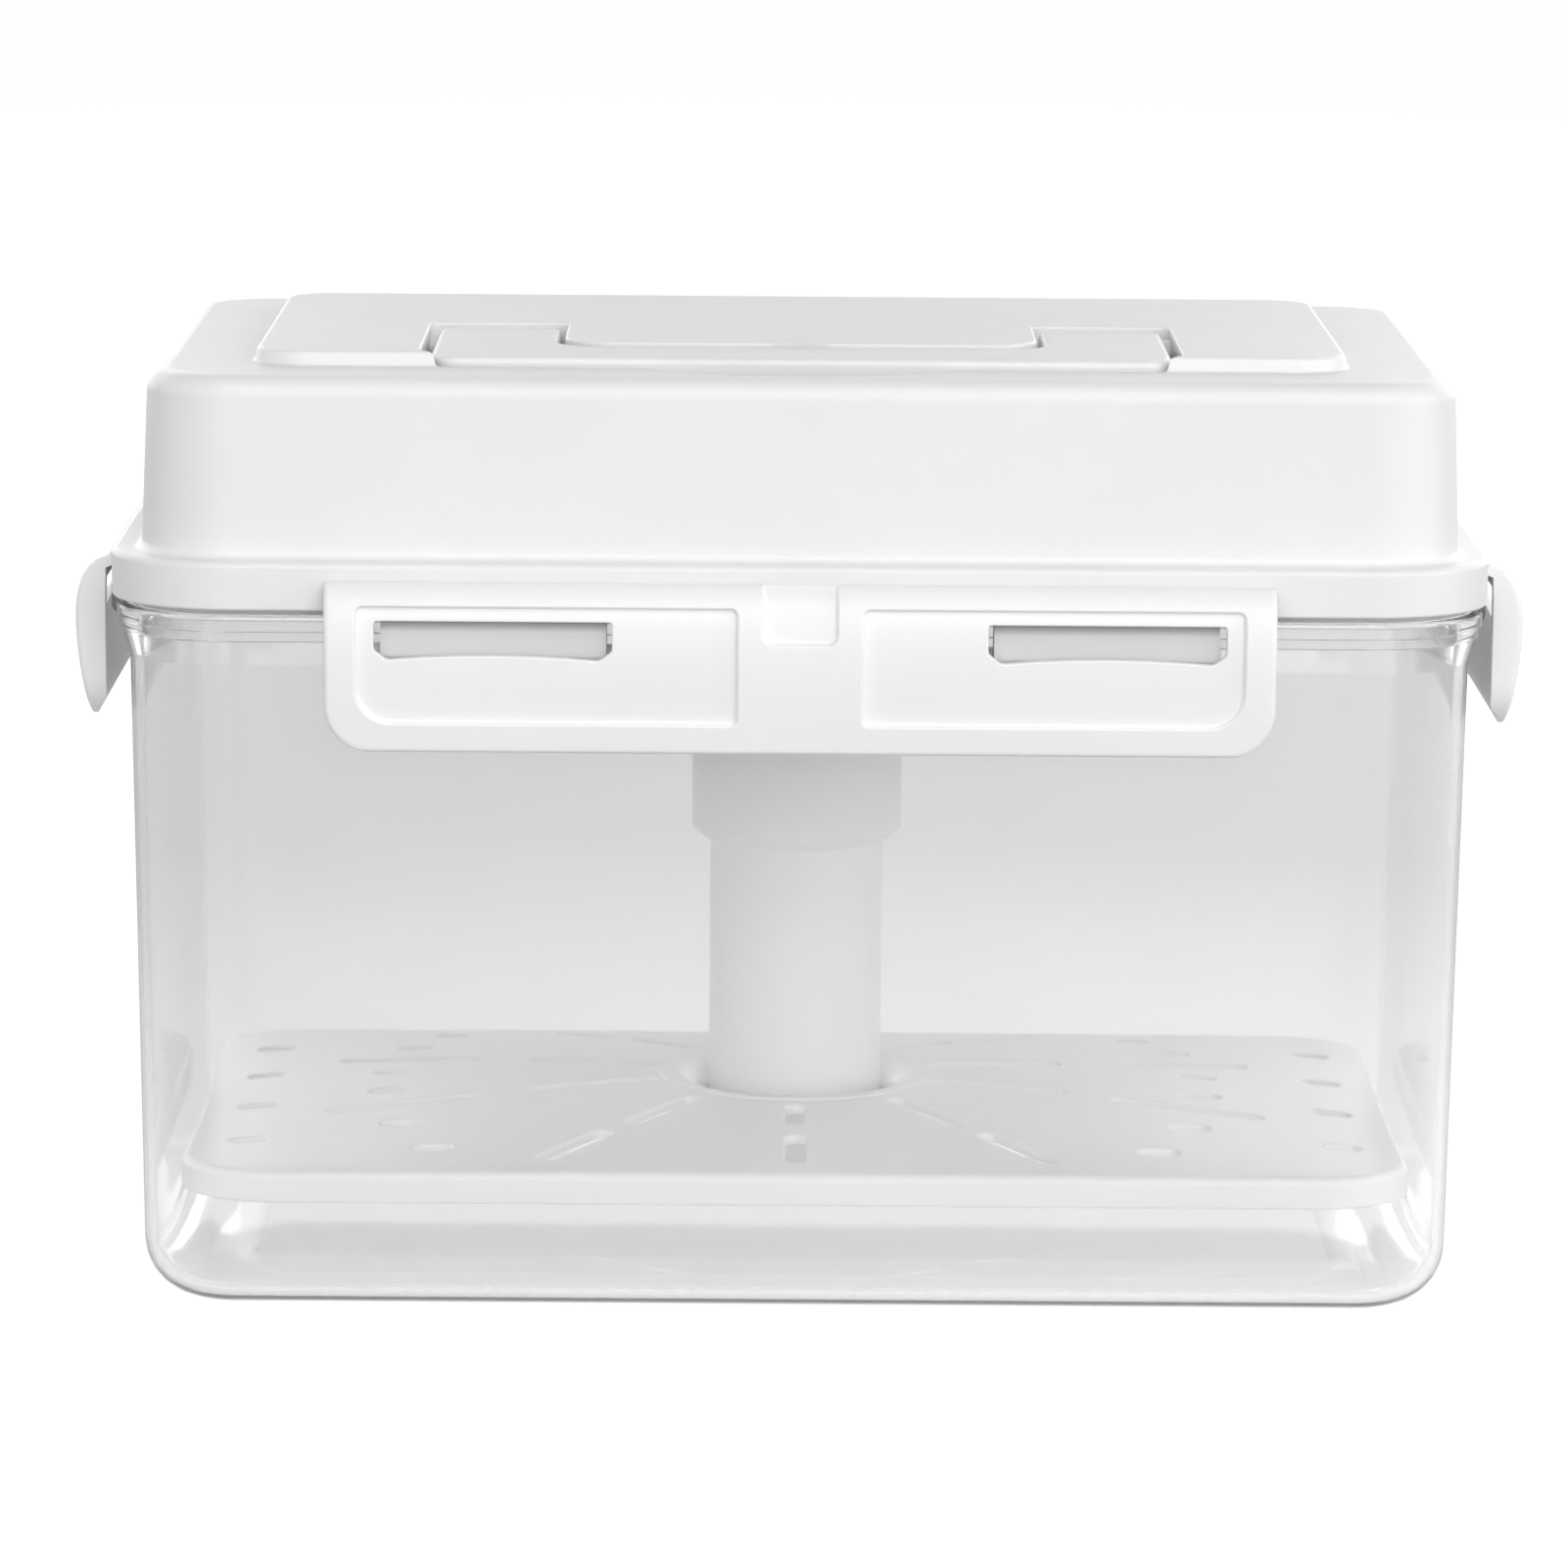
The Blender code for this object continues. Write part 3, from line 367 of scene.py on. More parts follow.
def stacked(name, corners, levels, steps=CORNER_STEPS):
    """A closed solid: an outline of (x, y, radius) carried through levels of (growth, z)."""
    bm = bmesh.new()
    growth, height = levels[0]
    verts = [bm.verts.new((x, y, height)) for x, y, radius in corners]
    edges = [bm.edges.new((verts[index - 1], vert)) for index, vert in enumerate(verts)]
    bmesh.ops.contextual_create(bm, geom=edges)
    for radius in sorted({corner[2] for corner in corners if corner[2] > 0}):
        round_verts = [vert for vert, corner in zip(verts, corners) if corner[2] == radius]
        bmesh.ops.bevel(
            bm,
            geom=round_verts,
            offset=radius,
            segments=steps,
            profile=ROUND_PROFILE,
            affect="VERTICES",
            material=-1,
        )
    bm.normal_update()
    bm.faces.ensure_lookup_table()
    face = bm.faces[0]
    if face.normal.z < 0:
        bmesh.ops.reverse_faces(bm, faces=[face])
    if growth:
        bmesh.ops.inset_individual(bm, faces=[face], thickness=-growth, use_even_offset=True)
        bmesh.ops.delete(bm, geom=[other for other in bm.faces if other != face], context="FACES")
    for next_growth, next_height in levels[1:]:
        bmesh.ops.inset_individual(
            bm,
            faces=[face],
            thickness=growth - next_growth,
            depth=next_height - height,
            use_even_offset=True,
        )
        growth, height = next_growth, next_height
    close_holes(bm)
    return to_mesh(bm, name)


def turned(name, profile, closed=True, steps=ROUND_SIDES):
    """A profile of (radius, z) spun about Z."""
    bm = bmesh.new()
    verts = [bm.verts.new((radius, 0, height)) for radius, height in profile]
    edges = [bm.edges.new(pair) for pair in zip(verts, verts[1:])]
    if closed:
        edges.append(bm.edges.new((verts[-1], verts[0])))
    bmesh.ops.spin(
        bm,
        geom=verts + edges,
        cent=(0, 0, 0),
        axis=(0, 0, 1),
        angle=math.tau,
        steps=steps,
        use_merge=True,
        use_duplicate=False,
    )
    return to_mesh(bm, name)


def rod_x(name, radius, low, high, y, z):
    """A round rod along X."""
    bm = bmesh.new()
    place = Matrix.Translation(((low + high) / 2, y, z)) @ Matrix.Rotation(math.pi / 2, 4, "Y")
    bmesh.ops.create_cone(
        bm,
        cap_ends=True,
        segments=ROUND_SIDES // 2,
        radius1=radius,
        radius2=radius,
        depth=high - low,
        matrix=place,
    )
    return to_mesh(bm, name)


def combined(base, *steps):
    """A mesh after Booleans with other meshes; each step is (operation, mesh)."""
    collection = bpy.context.scene.collection
    body = bpy.data.objects.new(base.name, base)
    collection.objects.link(body)
    tools = []
    for operation, mesh in steps:
        tool = bpy.data.objects.new(mesh.name, mesh)
        collection.objects.link(tool)
        boolean = body.modifiers.new(mesh.name, "BOOLEAN")
        boolean.operation = operation
        boolean.object = tool
        tools.append(tool)
    bpy.context.view_layer.update()
    result = bpy.data.meshes.new_from_object(body.evaluated_get(bpy.context.evaluated_depsgraph_get()))
    result.name = base.name
    for item in [body, *tools]:
        bpy.data.objects.remove(item)
    return result


def everything(bm):
    """All that a bmesh holds, for cuts across it."""
    return bm.verts[:] + bm.edges[:] + bm.faces[:]


def close_holes(bm):
    """Fills every open rim of a bmesh."""
    bmesh.ops.holes_fill(bm, edges=[edge for edge in bm.edges if edge.is_boundary], sides=0)


def sliced(mesh, cuts):
    """A mesh cut across at planes of (axis, place), so that it can be bent."""
    bm = bmesh.new()
    bm.from_mesh(mesh)
    for axis, place in cuts:
        normal = Vector((0, 0, 0))
        normal[axis] = 1
        bmesh.ops.bisect_plane(
            bm,
            geom=everything(bm),
            dist=WELD_DISTANCE / 10,
            plane_co=normal * place,
            plane_no=normal,
        )
    return bm


def show(name, mesh, body, finish, node):
    """A shown piece: shaded, finished, riding on its body in the place of a CAD node."""
    mesh.set_sharp_from_angle(angle=math.radians(SHARP_ANGLE))
    mesh.materials.clear()
    mesh.materials.append(finish)
    item = bpy.data.objects.new(name, mesh)
    bpy.context.scene.collection.objects.link(item)
    shading = item.modifiers.new("even_shading", "WEIGHTED_NORMAL")
    shading.keep_sharp = True
    shading.weight = 60
    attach(item, body)
    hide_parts(node)
    return item


def face_frame(turn, distance, along=0.0, height=0.0):
    """Stands an outline of (outwards, up) upright on the side that a turn about Z brings to the front."""
    upright = Matrix(((0, 0, -1, along), (-1, 0, 0, -distance), (0, 1, 0, height), (0, 0, 0, 1)))
    return Matrix.Rotation(math.radians(turn), 4, "Z") @ upright


def tub_mesh():
    """The tub as one closed skin, from under its floor over the stacked lip and down inside."""
    foot_lean = TUB_LEAN * flare_low / (flare_low - FOOT_FILLET)
    inner_fillet = FOOT_FILLET - TUB_WALL
    flat = -foot_lean - FOOT_FILLET - TUB_WALL
    skin = eased([
        (flat, 0, 0),
        (-foot_lean, 0, FOOT_FILLET),
        (0, flare_low, FLARE_ROUND),
        (FLARE_REACH, band_low, STEP_ROUND),
        (BAND_REACH, band_low, STEP_ROUND),
        (BAND_REACH, bead_low, STEP_ROUND),
        (BEAD_REACH, bead_low, STEP_ROUND),
        (BEAD_REACH, bead_top, BEAD_ROUND),
        (NECK_STEP, bead_top, NECK_ROUND),
        (NECK_STEP, TUB_HEIGHT, EDGE_EASE),
        (NECK_STEP - TUB_WALL, TUB_HEIGHT, EDGE_EASE),
        (NECK_STEP - TUB_WALL, band_low, INNER_ROUND),
        (-TUB_WALL, flare_low, INNER_ROUND),
        (-foot_lean - TUB_WALL, TUB_FLOOR, inner_fillet),
        (flat, TUB_FLOOR, 0),
    ], steps=6)
    tub = stacked("tub_skin", rectangle(tub_half_x, tub_half_y, TUB_CORNER), skin)
    recess_in = -TUB_LEAN - FOOT_FILLET - FOOT_RING
    recess = stacked(
        "foot_recess",
        rectangle(tub_half_x + recess_in, tub_half_y + recess_in, RECESS_CORNER),
        eased([
            (RECESS_SLOPE, -OVERRUN, 0),
            (RECESS_SLOPE, 0, 0),
            (0, FOOT_RECESS, RECESS_ROUND),
            (-2 * RECESS_ROUND, FOOT_RECESS, 0),
        ]),
    )
    return combined(tub, ("DIFFERENCE", recess))


def lugs_mesh():
    """The lugs that the latches snap over, from inside the tub's wall to just behind the latches' slots."""
    nose = rim_reach + hinge_standoff + tip_inside - LUG_CLEARANCE
    low = slot_low - SLOT_ARCH - LUG_SLOPE
    high = slot_high - LUG_TOP_DROP
    section = [
        (-TUB_WALL / 2, low, 0),
        (nose - LUG_SLOPE, low, EDGE_EASE),
        (nose, low + LUG_SLOPE, EDGE_EASE),
        (nose, high - 2 * LUG_SLOPE, EDGE_EASE),
        (nose - 1.2 * LUG_SLOPE, high, EDGE_EASE),
        (-TUB_WALL / 2, high, 0),
    ]
    half = SLOT_LENGTH / 2 - LUG_PLAY
    ends = [(0, -half), (0, half)]
    lug = stacked("lug", section, ends, steps=3)
    places = [(0, tub_half_y, front_slot), (0, tub_half_y, -front_slot), (90, tub_half_x, 0)]
    lugs = [
        moved(lug, face_frame(turn + half_turn, distance, along))
        for turn, distance, along in places
        for half_turn in (0, 180)
    ]
    return joined("lugs", *lugs)


def handle_corners(side_gap, gap, rear_gap, rear_corner):
    """The handle's U in plan, or the well round it when the gaps are given."""
    outer = HANDLE_WIDTH / 2 + side_gap
    inner = HANDLE_WIDTH / 2 - HANDLE_ARM - gap
    front = -(handle_front + gap)
    grip_rear = -(handle_front - HANDLE_GRIP - gap)
    rear = -handle_rear + rear_gap
    outer_corner = HANDLE_CORNER + gap
    inner_corner = GRIP_CORNER - gap
    return [
        (-outer, rear, rear_corner),
        (-outer, front, outer_corner),
        (outer, front, outer_corner),
        (outer, rear, rear_corner),
        (inner, rear, 0),
        (inner, grip_rear, inner_corner),
        (-inner, grip_rear, inner_corner),
        (-inner, rear, 0),
    ]


def well_corners():
    """The well's outline in plan."""
    return handle_corners(WELL_SIDE_GAP, WELL_GAP, WELL_GAP, WELL_REAR_CORNER)


def scoop_mesh(name, growth, top=None):
    """The round hollow under the grip, or its wall when it has grown."""
    bm = bmesh.new()
    sizes = (SCOOP_HALF_LENGTH + growth, scoop_half_width + growth, SCOOP_DEPTH + growth)
    bmesh.ops.create_uvsphere(bm, u_segments=72, v_segments=36, radius=1.0)
    bmesh.ops.scale(bm, vec=sizes, verts=bm.verts)
    bmesh.ops.translate(bm, vec=(0, -scoop_back, dome_top), verts=bm.verts)
    if top:
        bmesh.ops.bisect_plane(
            bm,
            geom=everything(bm),
            plane_co=(0, 0, top),
            plane_no=(0, 0, 1),
            clear_outer=True,
        )
        close_holes(bm)
    return to_mesh(bm, name)


def lid_mesh():
    """The lid: dome, rim and plug as one skin, then plateau, well, scoop, bosses and socket."""
    top_in = -rim_ledge - DOME_LEAN
    dome_in = top_in - LID_WALL
    round_in = DOME_ROUND - LID_WALL
    plug_low = channel_roof - PLUG_HEIGHT
    skin = eased([
        (top_in - DOME_ROUND - PROUD, dome_top, 0),
        (top_in, dome_top, DOME_ROUND),
        (-rim_ledge, rim_top, DOME_FOOT_FILLET),
        (0, rim_top, RIM_ROUND),
        (0, rim_bottom, EDGE_EASE),
        (-SKIRT_WALL, rim_bottom, CHANNEL_ROUND),
        (-SKIRT_WALL, channel_roof, CHANNEL_ROUND),
        (-rim_ledge, channel_roof, CHANNEL_ROUND),
        (-rim_ledge, plug_low, EDGE_EASE),
        (-rim_ledge - PLUG_WALL, plug_low, EDGE_EASE),
        (-rim_ledge - PLUG_WALL, channel_roof, INSIDE_ROUND),
        (-rim_ledge - LID_WALL, rim_top, INSIDE_ROUND),
        (dome_in, dome_top - LID_WALL, round_in),
        (dome_in - round_in - PROUD, dome_top - LID_WALL, 0),
    ], steps=8)
    lid = stacked("lid_skin", rectangle(rim_half_x, rim_half_y, rim_corner), skin)

    plateau_outline = rectangle(plateau_half_x, plateau_half_y, PLATEAU_CORNER)
    mid_wall = dome_top - LID_WALL / 2
    plateau_sides = eased([
        (PLATEAU_FOOT + PROUD, mid_wall, 0),
        (PLATEAU_FOOT + PROUD, dome_top - PROUD, 0),
        (0, dome_top - PROUD, PLATEAU_FOOT),
        (-PLATEAU_LEAN, plateau_top, PLATEAU_ROUND),
        (-PLATEAU_LEAN - 2 * PLATEAU_ROUND, plateau_top, 0),
    ], steps=6)
    plateau = stacked("plateau", plateau_outline, plateau_sides)

    well_floor = handle_low - WELL_FLOOR_GAP
    well_wall = stacked(
        "well_wall",
        well_corners(),
        [(LID_WALL, well_floor - LID_WALL), (LID_WALL, mid_wall)],
    )
    scoop_wall = scoop_mesh("scoop_wall", LID_WALL, mid_wall)
    hollow = stacked(
        "plateau_hollow",
        rectangle(plateau_half_x - LID_WALL, plateau_half_y - LID_WALL, PLATEAU_CORNER - LID_WALL),
        [(0, dome_top - LID_WALL - OVERRUN), (0, lid_roof)],
    )
    tall_well_wall = stacked(
        "tall_well_wall",
        well_corners(),
        [(LID_WALL, well_floor - LID_WALL), (LID_WALL, plateau_top + OVERRUN)],
    )
    hollow = combined(
        hollow, ("DIFFERENCE", tall_well_wall), ("DIFFERENCE", scoop_mesh("scoop_wall_tall", LID_WALL))
    )
    well = stacked(
        "well",
        well_corners(),
        eased([
            (-0.001, well_floor, 0),
            (0, well_floor, WELL_FLOOR_ROUND),
            (0, plateau_top + PROUD, EDGE_EASE),
            (2 * EDGE_EASE, plateau_top + PROUD, 0),
            (2 * EDGE_EASE, plateau_top + OVERRUN, 0),
        ]),
    )
    lid = combined(
        lid,
        ("UNION", plateau),
        ("UNION", well_wall),
        ("UNION", scoop_wall),
        ("DIFFERENCE", hollow),
        ("DIFFERENCE", well),
        ("DIFFERENCE", scoop_mesh("scoop", 0)),
    )

    steps = []
    boss_radius = PIN_RADIUS + PIN_PLAY + PIN_BOSS_WALL
    hole_radius = PIN_RADIUS + PIN_PLAY
    for side in (-1, 1):
        ends = sorted((side * (well_half_width + LID_WALL / 2), side * (pin_reach + LID_WALL)))
        steps.append(("UNION", rod_x("boss", boss_radius, *ends, -PIVOT_SETBACK, pivot_z)))
    for side in (-1, 1):
        ends = sorted((side * (well_half_width - OVERRUN / 4), side * (pin_reach + PIN_PLAY)))
        steps.append(("DIFFERENCE", rod_x("pin_hole", hole_radius, *ends, -PIVOT_SETBACK, pivot_z)))
    socket_in = sleeve_radius + TOUCH_GAP
    socket_out = socket_in + SOCKET_WALL
    socket = turned("socket", eased([
        (socket_in, lid_roof + LID_WALL / 2, 0),
        (socket_out, lid_roof + LID_WALL / 2, 0),
        (socket_out, lid_roof - SOCKET_DEPTH, EDGE_EASE),
        (socket_in, lid_roof - SOCKET_DEPTH, EDGE_EASE),
    ], closed=True))
    return combined(lid, *steps, ("UNION", socket))


def gasket_mesh():
    """The soft ring over the tub's edge: a round-edged section carried round the rim."""
    low = TUB_HEIGHT + TOUCH_GAP
    high = low + GASKET_THICKNESS
    outside = -SKIRT_WALL - TOUCH_GAP
    inside = -rim_ledge + TOUCH_GAP
    middle = (outside + inside) / 2
    section = eased([
        (middle, low, 0),
        (outside, low, EDGE_EASE),
        (outside, high, EDGE_EASE),
        (inside, high, EDGE_EASE),
        (inside, low, EDGE_EASE),
        (middle - PROUD, low, 0),
    ])
    ring = stacked("gasket_ring", rectangle(rim_half_x, rim_half_y, rim_corner), section)
    bm = bmesh.new()
    bm.from_mesh(ring)
    caps = [face for face in bm.faces if len(face.verts) > 4]
    rims = [edge for face in caps for edge in face.edges]
    bmesh.ops.delete(bm, geom=caps, context="FACES_ONLY")
    bmesh.ops.bridge_loops(bm, edges=rims)
    return to_mesh(bm, "gasket")


def handle_mesh():
    """The folded handle with its pins, soft along every long edge."""
    plan = handle_corners(0, 0, 0, 0)
    thickness = eased([
        (-2 * HANDLE_EASE, handle_low, 0),
        (0, handle_low, HANDLE_EASE),
        (0, handle_top, HANDLE_EASE),
        (-2 * HANDLE_EASE, handle_top, 0),
    ], steps=7)
    rear_room = [
        (x, y + (2 * HANDLE_EASE if y == -handle_rear else 0), radius) for x, y, radius in plan
    ]
    handle = stacked("handle", rear_room, thickness)
    half = HANDLE_THICKNESS / 2
    side_view = eased([
        (handle_front + OVERRUN, handle_low - OVERRUN, 0),
        (handle_front + OVERRUN, handle_top + OVERRUN, 0),
        (PIVOT_SETBACK + half + OVERRUN, handle_top + OVERRUN, 0),
        (PIVOT_SETBACK + half + OVERRUN, handle_top, 0),
        (PIVOT_SETBACK - half, handle_top, half),
        (PIVOT_SETBACK - half, handle_low, half),
        (PIVOT_SETBACK + half + OVERRUN, handle_low, 0),
        (PIVOT_SETBACK + half + OVERRUN, handle_low - OVERRUN, 0),
    ], closed=True, steps=16)
    sides = [(a, b, 0) for a, b in side_view]
    envelope = stacked("side_view", sides, [(0, -HANDLE_WIDTH), (0, HANDLE_WIDTH)])
    envelope = moved(envelope, face_frame(0, 0))
    steps = [("INTERSECT", envelope)]
    for side in (-1, 1):
        ends = sorted((side * (HANDLE_WIDTH / 2 - HANDLE_ARM / 2), side * pin_reach))
        steps.append(("UNION", rod_x("pin", PIN_RADIUS, *ends, -PIVOT_SETBACK, pivot_z)))
    return combined(handle, *steps)


def leaf_rows():
    """Rows of (up, outside, inside) down a latch's section, from the hinge line."""
    first, second = LEAF_CONTROL_SHARES
    controls = [
        Vector((0, HINGE_RADIUS)),
        Vector((LATCH_BULGE * first[0], -LATCH_DROP * first[1])),
        Vector((LATCH_BULGE * second[0], -LATCH_DROP * second[1])),
        Vector((LATCH_TIP_REACH + LATCH_TIP_RADIUS, LATCH_TIP_RADIUS - LATCH_DROP)),
    ]
    inner_low = LATCH_TIP_RADIUS + PANEL_DEPTH + LATCH_SKIN - LATCH_DROP
    rows = []
    for step in range(LEAF_STEPS + 1):
        t = step / LEAF_STEPS
        out, up = (
            controls[0] * (1 - t) ** 3
            + controls[1] * 3 * t * (1 - t) ** 2
            + controls[2] * 3 * t**2 * (1 - t)
            + controls[3] * t**3
        )
        if up > -HINGE_RADIUS:
            inside = -math.sqrt(HINGE_RADIUS**2 - up**2)
        else:
            drop = max(inner_low - up, 0) / (inner_low - controls[3].y)
            inside = LATCH_INSIDE + (tip_inside - LATCH_INSIDE) * drop
        rows.append((up, out, inside))
    for step in range(1, EASE_STEPS + 1):
        angle = math.radians(TIP_TURN) * step / EASE_STEPS
        width = LATCH_TIP_RADIUS * math.cos(angle)
        up = controls[3].y - LATCH_TIP_RADIUS * math.sin(angle)
        rows.append((up, LATCH_TIP_REACH + width, LATCH_TIP_REACH - width))
    return rows


def row_at(rows, up):
    """The outside and inside of a latch at a height."""
    for (high, high_out, high_in), (low, low_out, low_in) in zip(rows, rows[1:]):
        if up >= low:
            share = min(max((high - up) / (high - low), 0), 1)
            return high_out + (low_out - high_out) * share, high_in + (low_in - high_in) * share
    return rows[-1][1:]


def pocket(name, corners, steps):
    """A cutter for a panel or notch sunk in a flat face at 0, with an eased brim."""
    return stacked(name, corners, eased([
        (-1.5 * POCKET_ROUND, -PANEL_DEPTH, 0),
        (0, -PANEL_DEPTH, POCKET_ROUND),
        (0, PROUD, EDGE_EASE),
        (1.5 * EDGE_EASE, PROUD, 0),
        (1.5 * EDGE_EASE, OVERRUN, 0),
    ]), steps)


def latch_mesh(name, half, panels, slots, notch):
    """A latch made flat, with its panels, slots and notch, and then bent to the leaf's curve."""
    over = HINGE_RADIUS + OVERRUN
    outline = [
        (-half, -LATCH_DROP, LATCH_CORNER),
        (half, -LATCH_DROP, LATCH_CORNER),
        (half, over, 0),
        (-half, over, 0),
    ]
    leaf = stacked(name, outline, eased([
        (-LATCH_FACE_IN, -LATCH_FLAT_DEPTH, 0),
        (0, -LATCH_FLAT_DEPTH, EDGE_EASE),
        (0, 0, LATCH_EASE),
        (-LATCH_FACE_IN, 0, 0),
    ], steps=6))
    skin = PANEL_DEPTH + LATCH_SKIN
    hollow_half = half - LATCH_END_WALL
    hollow = stacked(name + "_hollow", [
        (-hollow_half, -LATCH_DROP - OVERRUN, 0),
        (hollow_half, -LATCH_DROP - OVERRUN, 0),
        (hollow_half, -LATCH_LAND, HOLLOW_ROUND),
        (-hollow_half, -LATCH_LAND, HOLLOW_ROUND),
    ], [(0, -LATCH_FLAT_DEPTH - OVERRUN), (0, -skin)], 4)
    steps = [("DIFFERENCE", hollow)]
    panel_low = -PANEL_TOP - PANEL_HEIGHT
    for left, right in panels:
        left_foot, right_foot = [
            PANEL_FOOT_CORNER if abs(side) > half - 2 * PANEL_MARGIN else PANEL_CORNER
            for side in (left, right)
        ]
        steps.append(("DIFFERENCE", pocket(name + "_panel", [
            (left, panel_low, left_foot),
            (right, panel_low, right_foot),
            (right, -PANEL_TOP, PANEL_CORNER),
            (left, -PANEL_TOP, PANEL_CORNER),
        ], 10)))
    slot_from, slot_to = slot_high - hinge_z, slot_low - hinge_z
    for centre in slots:
        left = centre - SLOT_LENGTH / 2
        right = centre + SLOT_LENGTH / 2
        foot_half = SLOT_LENGTH / 2 - SLOT_FOOT_IN
        arch = [
            (centre + foot_half * share, slot_to - SLOT_ARCH * share**2, SLOT_CORNER if abs(share) == 1 else 0)
            for share in SLOT_ARCH_SHARES
        ]
        steps.append(("DIFFERENCE", stacked(name + "_slot", [
            (left, slot_to + SLOT_ARCH, SLOT_CORNER),
            *arch,
            (right, slot_to + SLOT_ARCH, SLOT_CORNER),
            (right, slot_from, SLOT_CORNER),
            (left, slot_from, SLOT_CORNER),
        ], eased([
            (0, -LATCH_FLAT_DEPTH - OVERRUN, 0),
            (0, PROUD - PANEL_DEPTH, SLOT_BRIM_ROUND),
            (SLOT_BRIM, PROUD - PANEL_DEPTH, 0),
            (SLOT_BRIM, OVERRUN, 0),
        ]), 5)))
    if notch:
        half_notch = NOTCH_WIDTH / 2
        steps.append(("DIFFERENCE", pocket(name + "_notch", [
            (-half_notch, -NOTCH_HEIGHT, NOTCH_CORNER),
            (half_notch, -NOTCH_HEIGHT, NOTCH_CORNER),
            (half_notch, over + OVERRUN, 0),
            (-half_notch, over + OVERRUN, 0),
        ], 8)))
    flat = combined(leaf, *steps)

    rows = leaf_rows()
    bm = sliced(flat, [(1, up) for up, outside, inside in rows[1:]])
    bmesh.ops.bisect_plane(
        bm,
        geom=everything(bm),
        dist=WELD_DISTANCE / 10,
        plane_co=(0, HINGE_RADIUS * ROLL_TOP, 0),
        plane_no=(0, 1, 0),
        clear_outer=True,
    )
    close_holes(bm)
    for vert in bm.verts:
        along, up, depth = vert.co
        outside, inside = row_at(rows, up)
        skin_here = min(skin, (outside - inside) * THINNEST_SKIN)
        if depth > -skin:
            out = outside + depth * skin_here / skin
        else:
            share = (-skin - depth) / (LATCH_FLAT_DEPTH - skin)
            out = outside - skin_here + (inside - outside + skin_here) * share
        vert.co = (along, -out, up)
    return to_mesh(bm, name)


def sleeve_mesh():
    """The upper column, with the chamfer at its foot and the narrow guide inside."""
    guide = tube_radius + RUNNING_GAP
    foot = guide + SLEEVE_FOOT_WALL
    return turned("upper_column", eased([
        (sleeve_radius, sleeve_top, 0),
        (sleeve_radius, sleeve_bottom + SLEEVE_CHAMFER_HEIGHT, SLEEVE_ROUND),
        (foot, sleeve_bottom, FINE_ROUND),
        (guide, sleeve_bottom, FINE_ROUND),
        (guide, guide_top, FINE_ROUND),
        (sleeve_bore, guide_top, FINE_ROUND),
        (sleeve_bore, sleeve_top, 0),
    ], closed=True))


def tube_mesh():
    """The lower column, with the bead that stops it in the upper one."""
    bore = tube_radius - TUBE_WALL
    bead_low_z = tube_top - TUBE_BEAD_HEIGHT
    return turned("lower_column", eased([
        (tube_bead, tube_top, TUBE_ROUND),
        (tube_bead, bead_low_z, TUBE_ROUND),
        (tube_radius, bead_low_z, FINE_ROUND),
        (tube_radius, tube_bottom, TUBE_FOOT_ROUND),
        (bore, tube_bottom, TUBE_FOOT_ROUND),
        (bore, tube_top, TUBE_ROUND),
    ], closed=True))


def spring_mesh():
    """The coil inside the column: a round wire spun and raised at once."""
    wire = SPRING_WIRE / 2
    radius = tube_radius - TUBE_WALL - SPRING_PLAY - wire
    low = hub_floor + TOUCH_GAP + wire
    high = lid_roof - TOUCH_GAP - wire
    steps = SPRING_TURNS * SPRING_STEPS
    bm = bmesh.new()
    stand = Matrix.Translation((radius, 0, low)) @ Matrix.Rotation(math.pi / 2, 4, "X")
    bmesh.ops.create_circle(bm, cap_ends=False, segments=SPRING_SIDES, radius=wire, matrix=stand)
    bmesh.ops.spin(
        bm,
        geom=bm.verts[:] + bm.edges[:],
        cent=(0, 0, 0),
        axis=(0, 0, 1),
        dvec=(0, 0, (high - low) / steps),
        angle=math.tau * SPRING_TURNS,
        steps=steps,
        use_merge=False,
        use_duplicate=False,
    )
    close_holes(bm)
    return to_mesh(bm, "spring")


def crown_height(x, y):
    """The height of the plate's upper face: a gentle crown that runs level into the round cup."""
    fall_x = 1 - (x / plate_half_x) ** 2
    fall_y = 1 - (y / plate_half_y) ** 2
    crown = plate_edge + PLATE_CROWN * max(fall_x, 0) * max(fall_y, 0)
    away = min(max((math.hypot(x, y) - flare_radius) / HUB_APRON, 0), 1)
    return plate_ridge + (crown - plate_ridge) * away


def slot_cutter(x, y, length, width, angle):
    """A cutter for a slot with round ends and eased edges, through the flat plate."""
    radius = width / 2 * SLOT_END_SHARE
    outline = rectangle(length / 2, width / 2, radius)
    cutter = stacked("slot", outline, eased([
        (SLOT_FLARE_BELOW, -PLATE_WALL - OVERRUN, 0),
        (SLOT_FLARE_BELOW, -PLATE_WALL - PROUD, 0),
        (0, -PLATE_WALL - PROUD, SLOT_ROUND_BELOW),
        (0, PROUD, SLOT_ROUND_ABOVE),
        (SLOT_FLARE_ABOVE, PROUD, 0),
        (SLOT_FLARE_ABOVE, OVERRUN, 0),
    ], steps=4), 7)
    cutter.transform(Matrix.Translation((x, y, 0)) @ Matrix.Rotation(math.radians(angle), 4, "Z"))
    return cutter


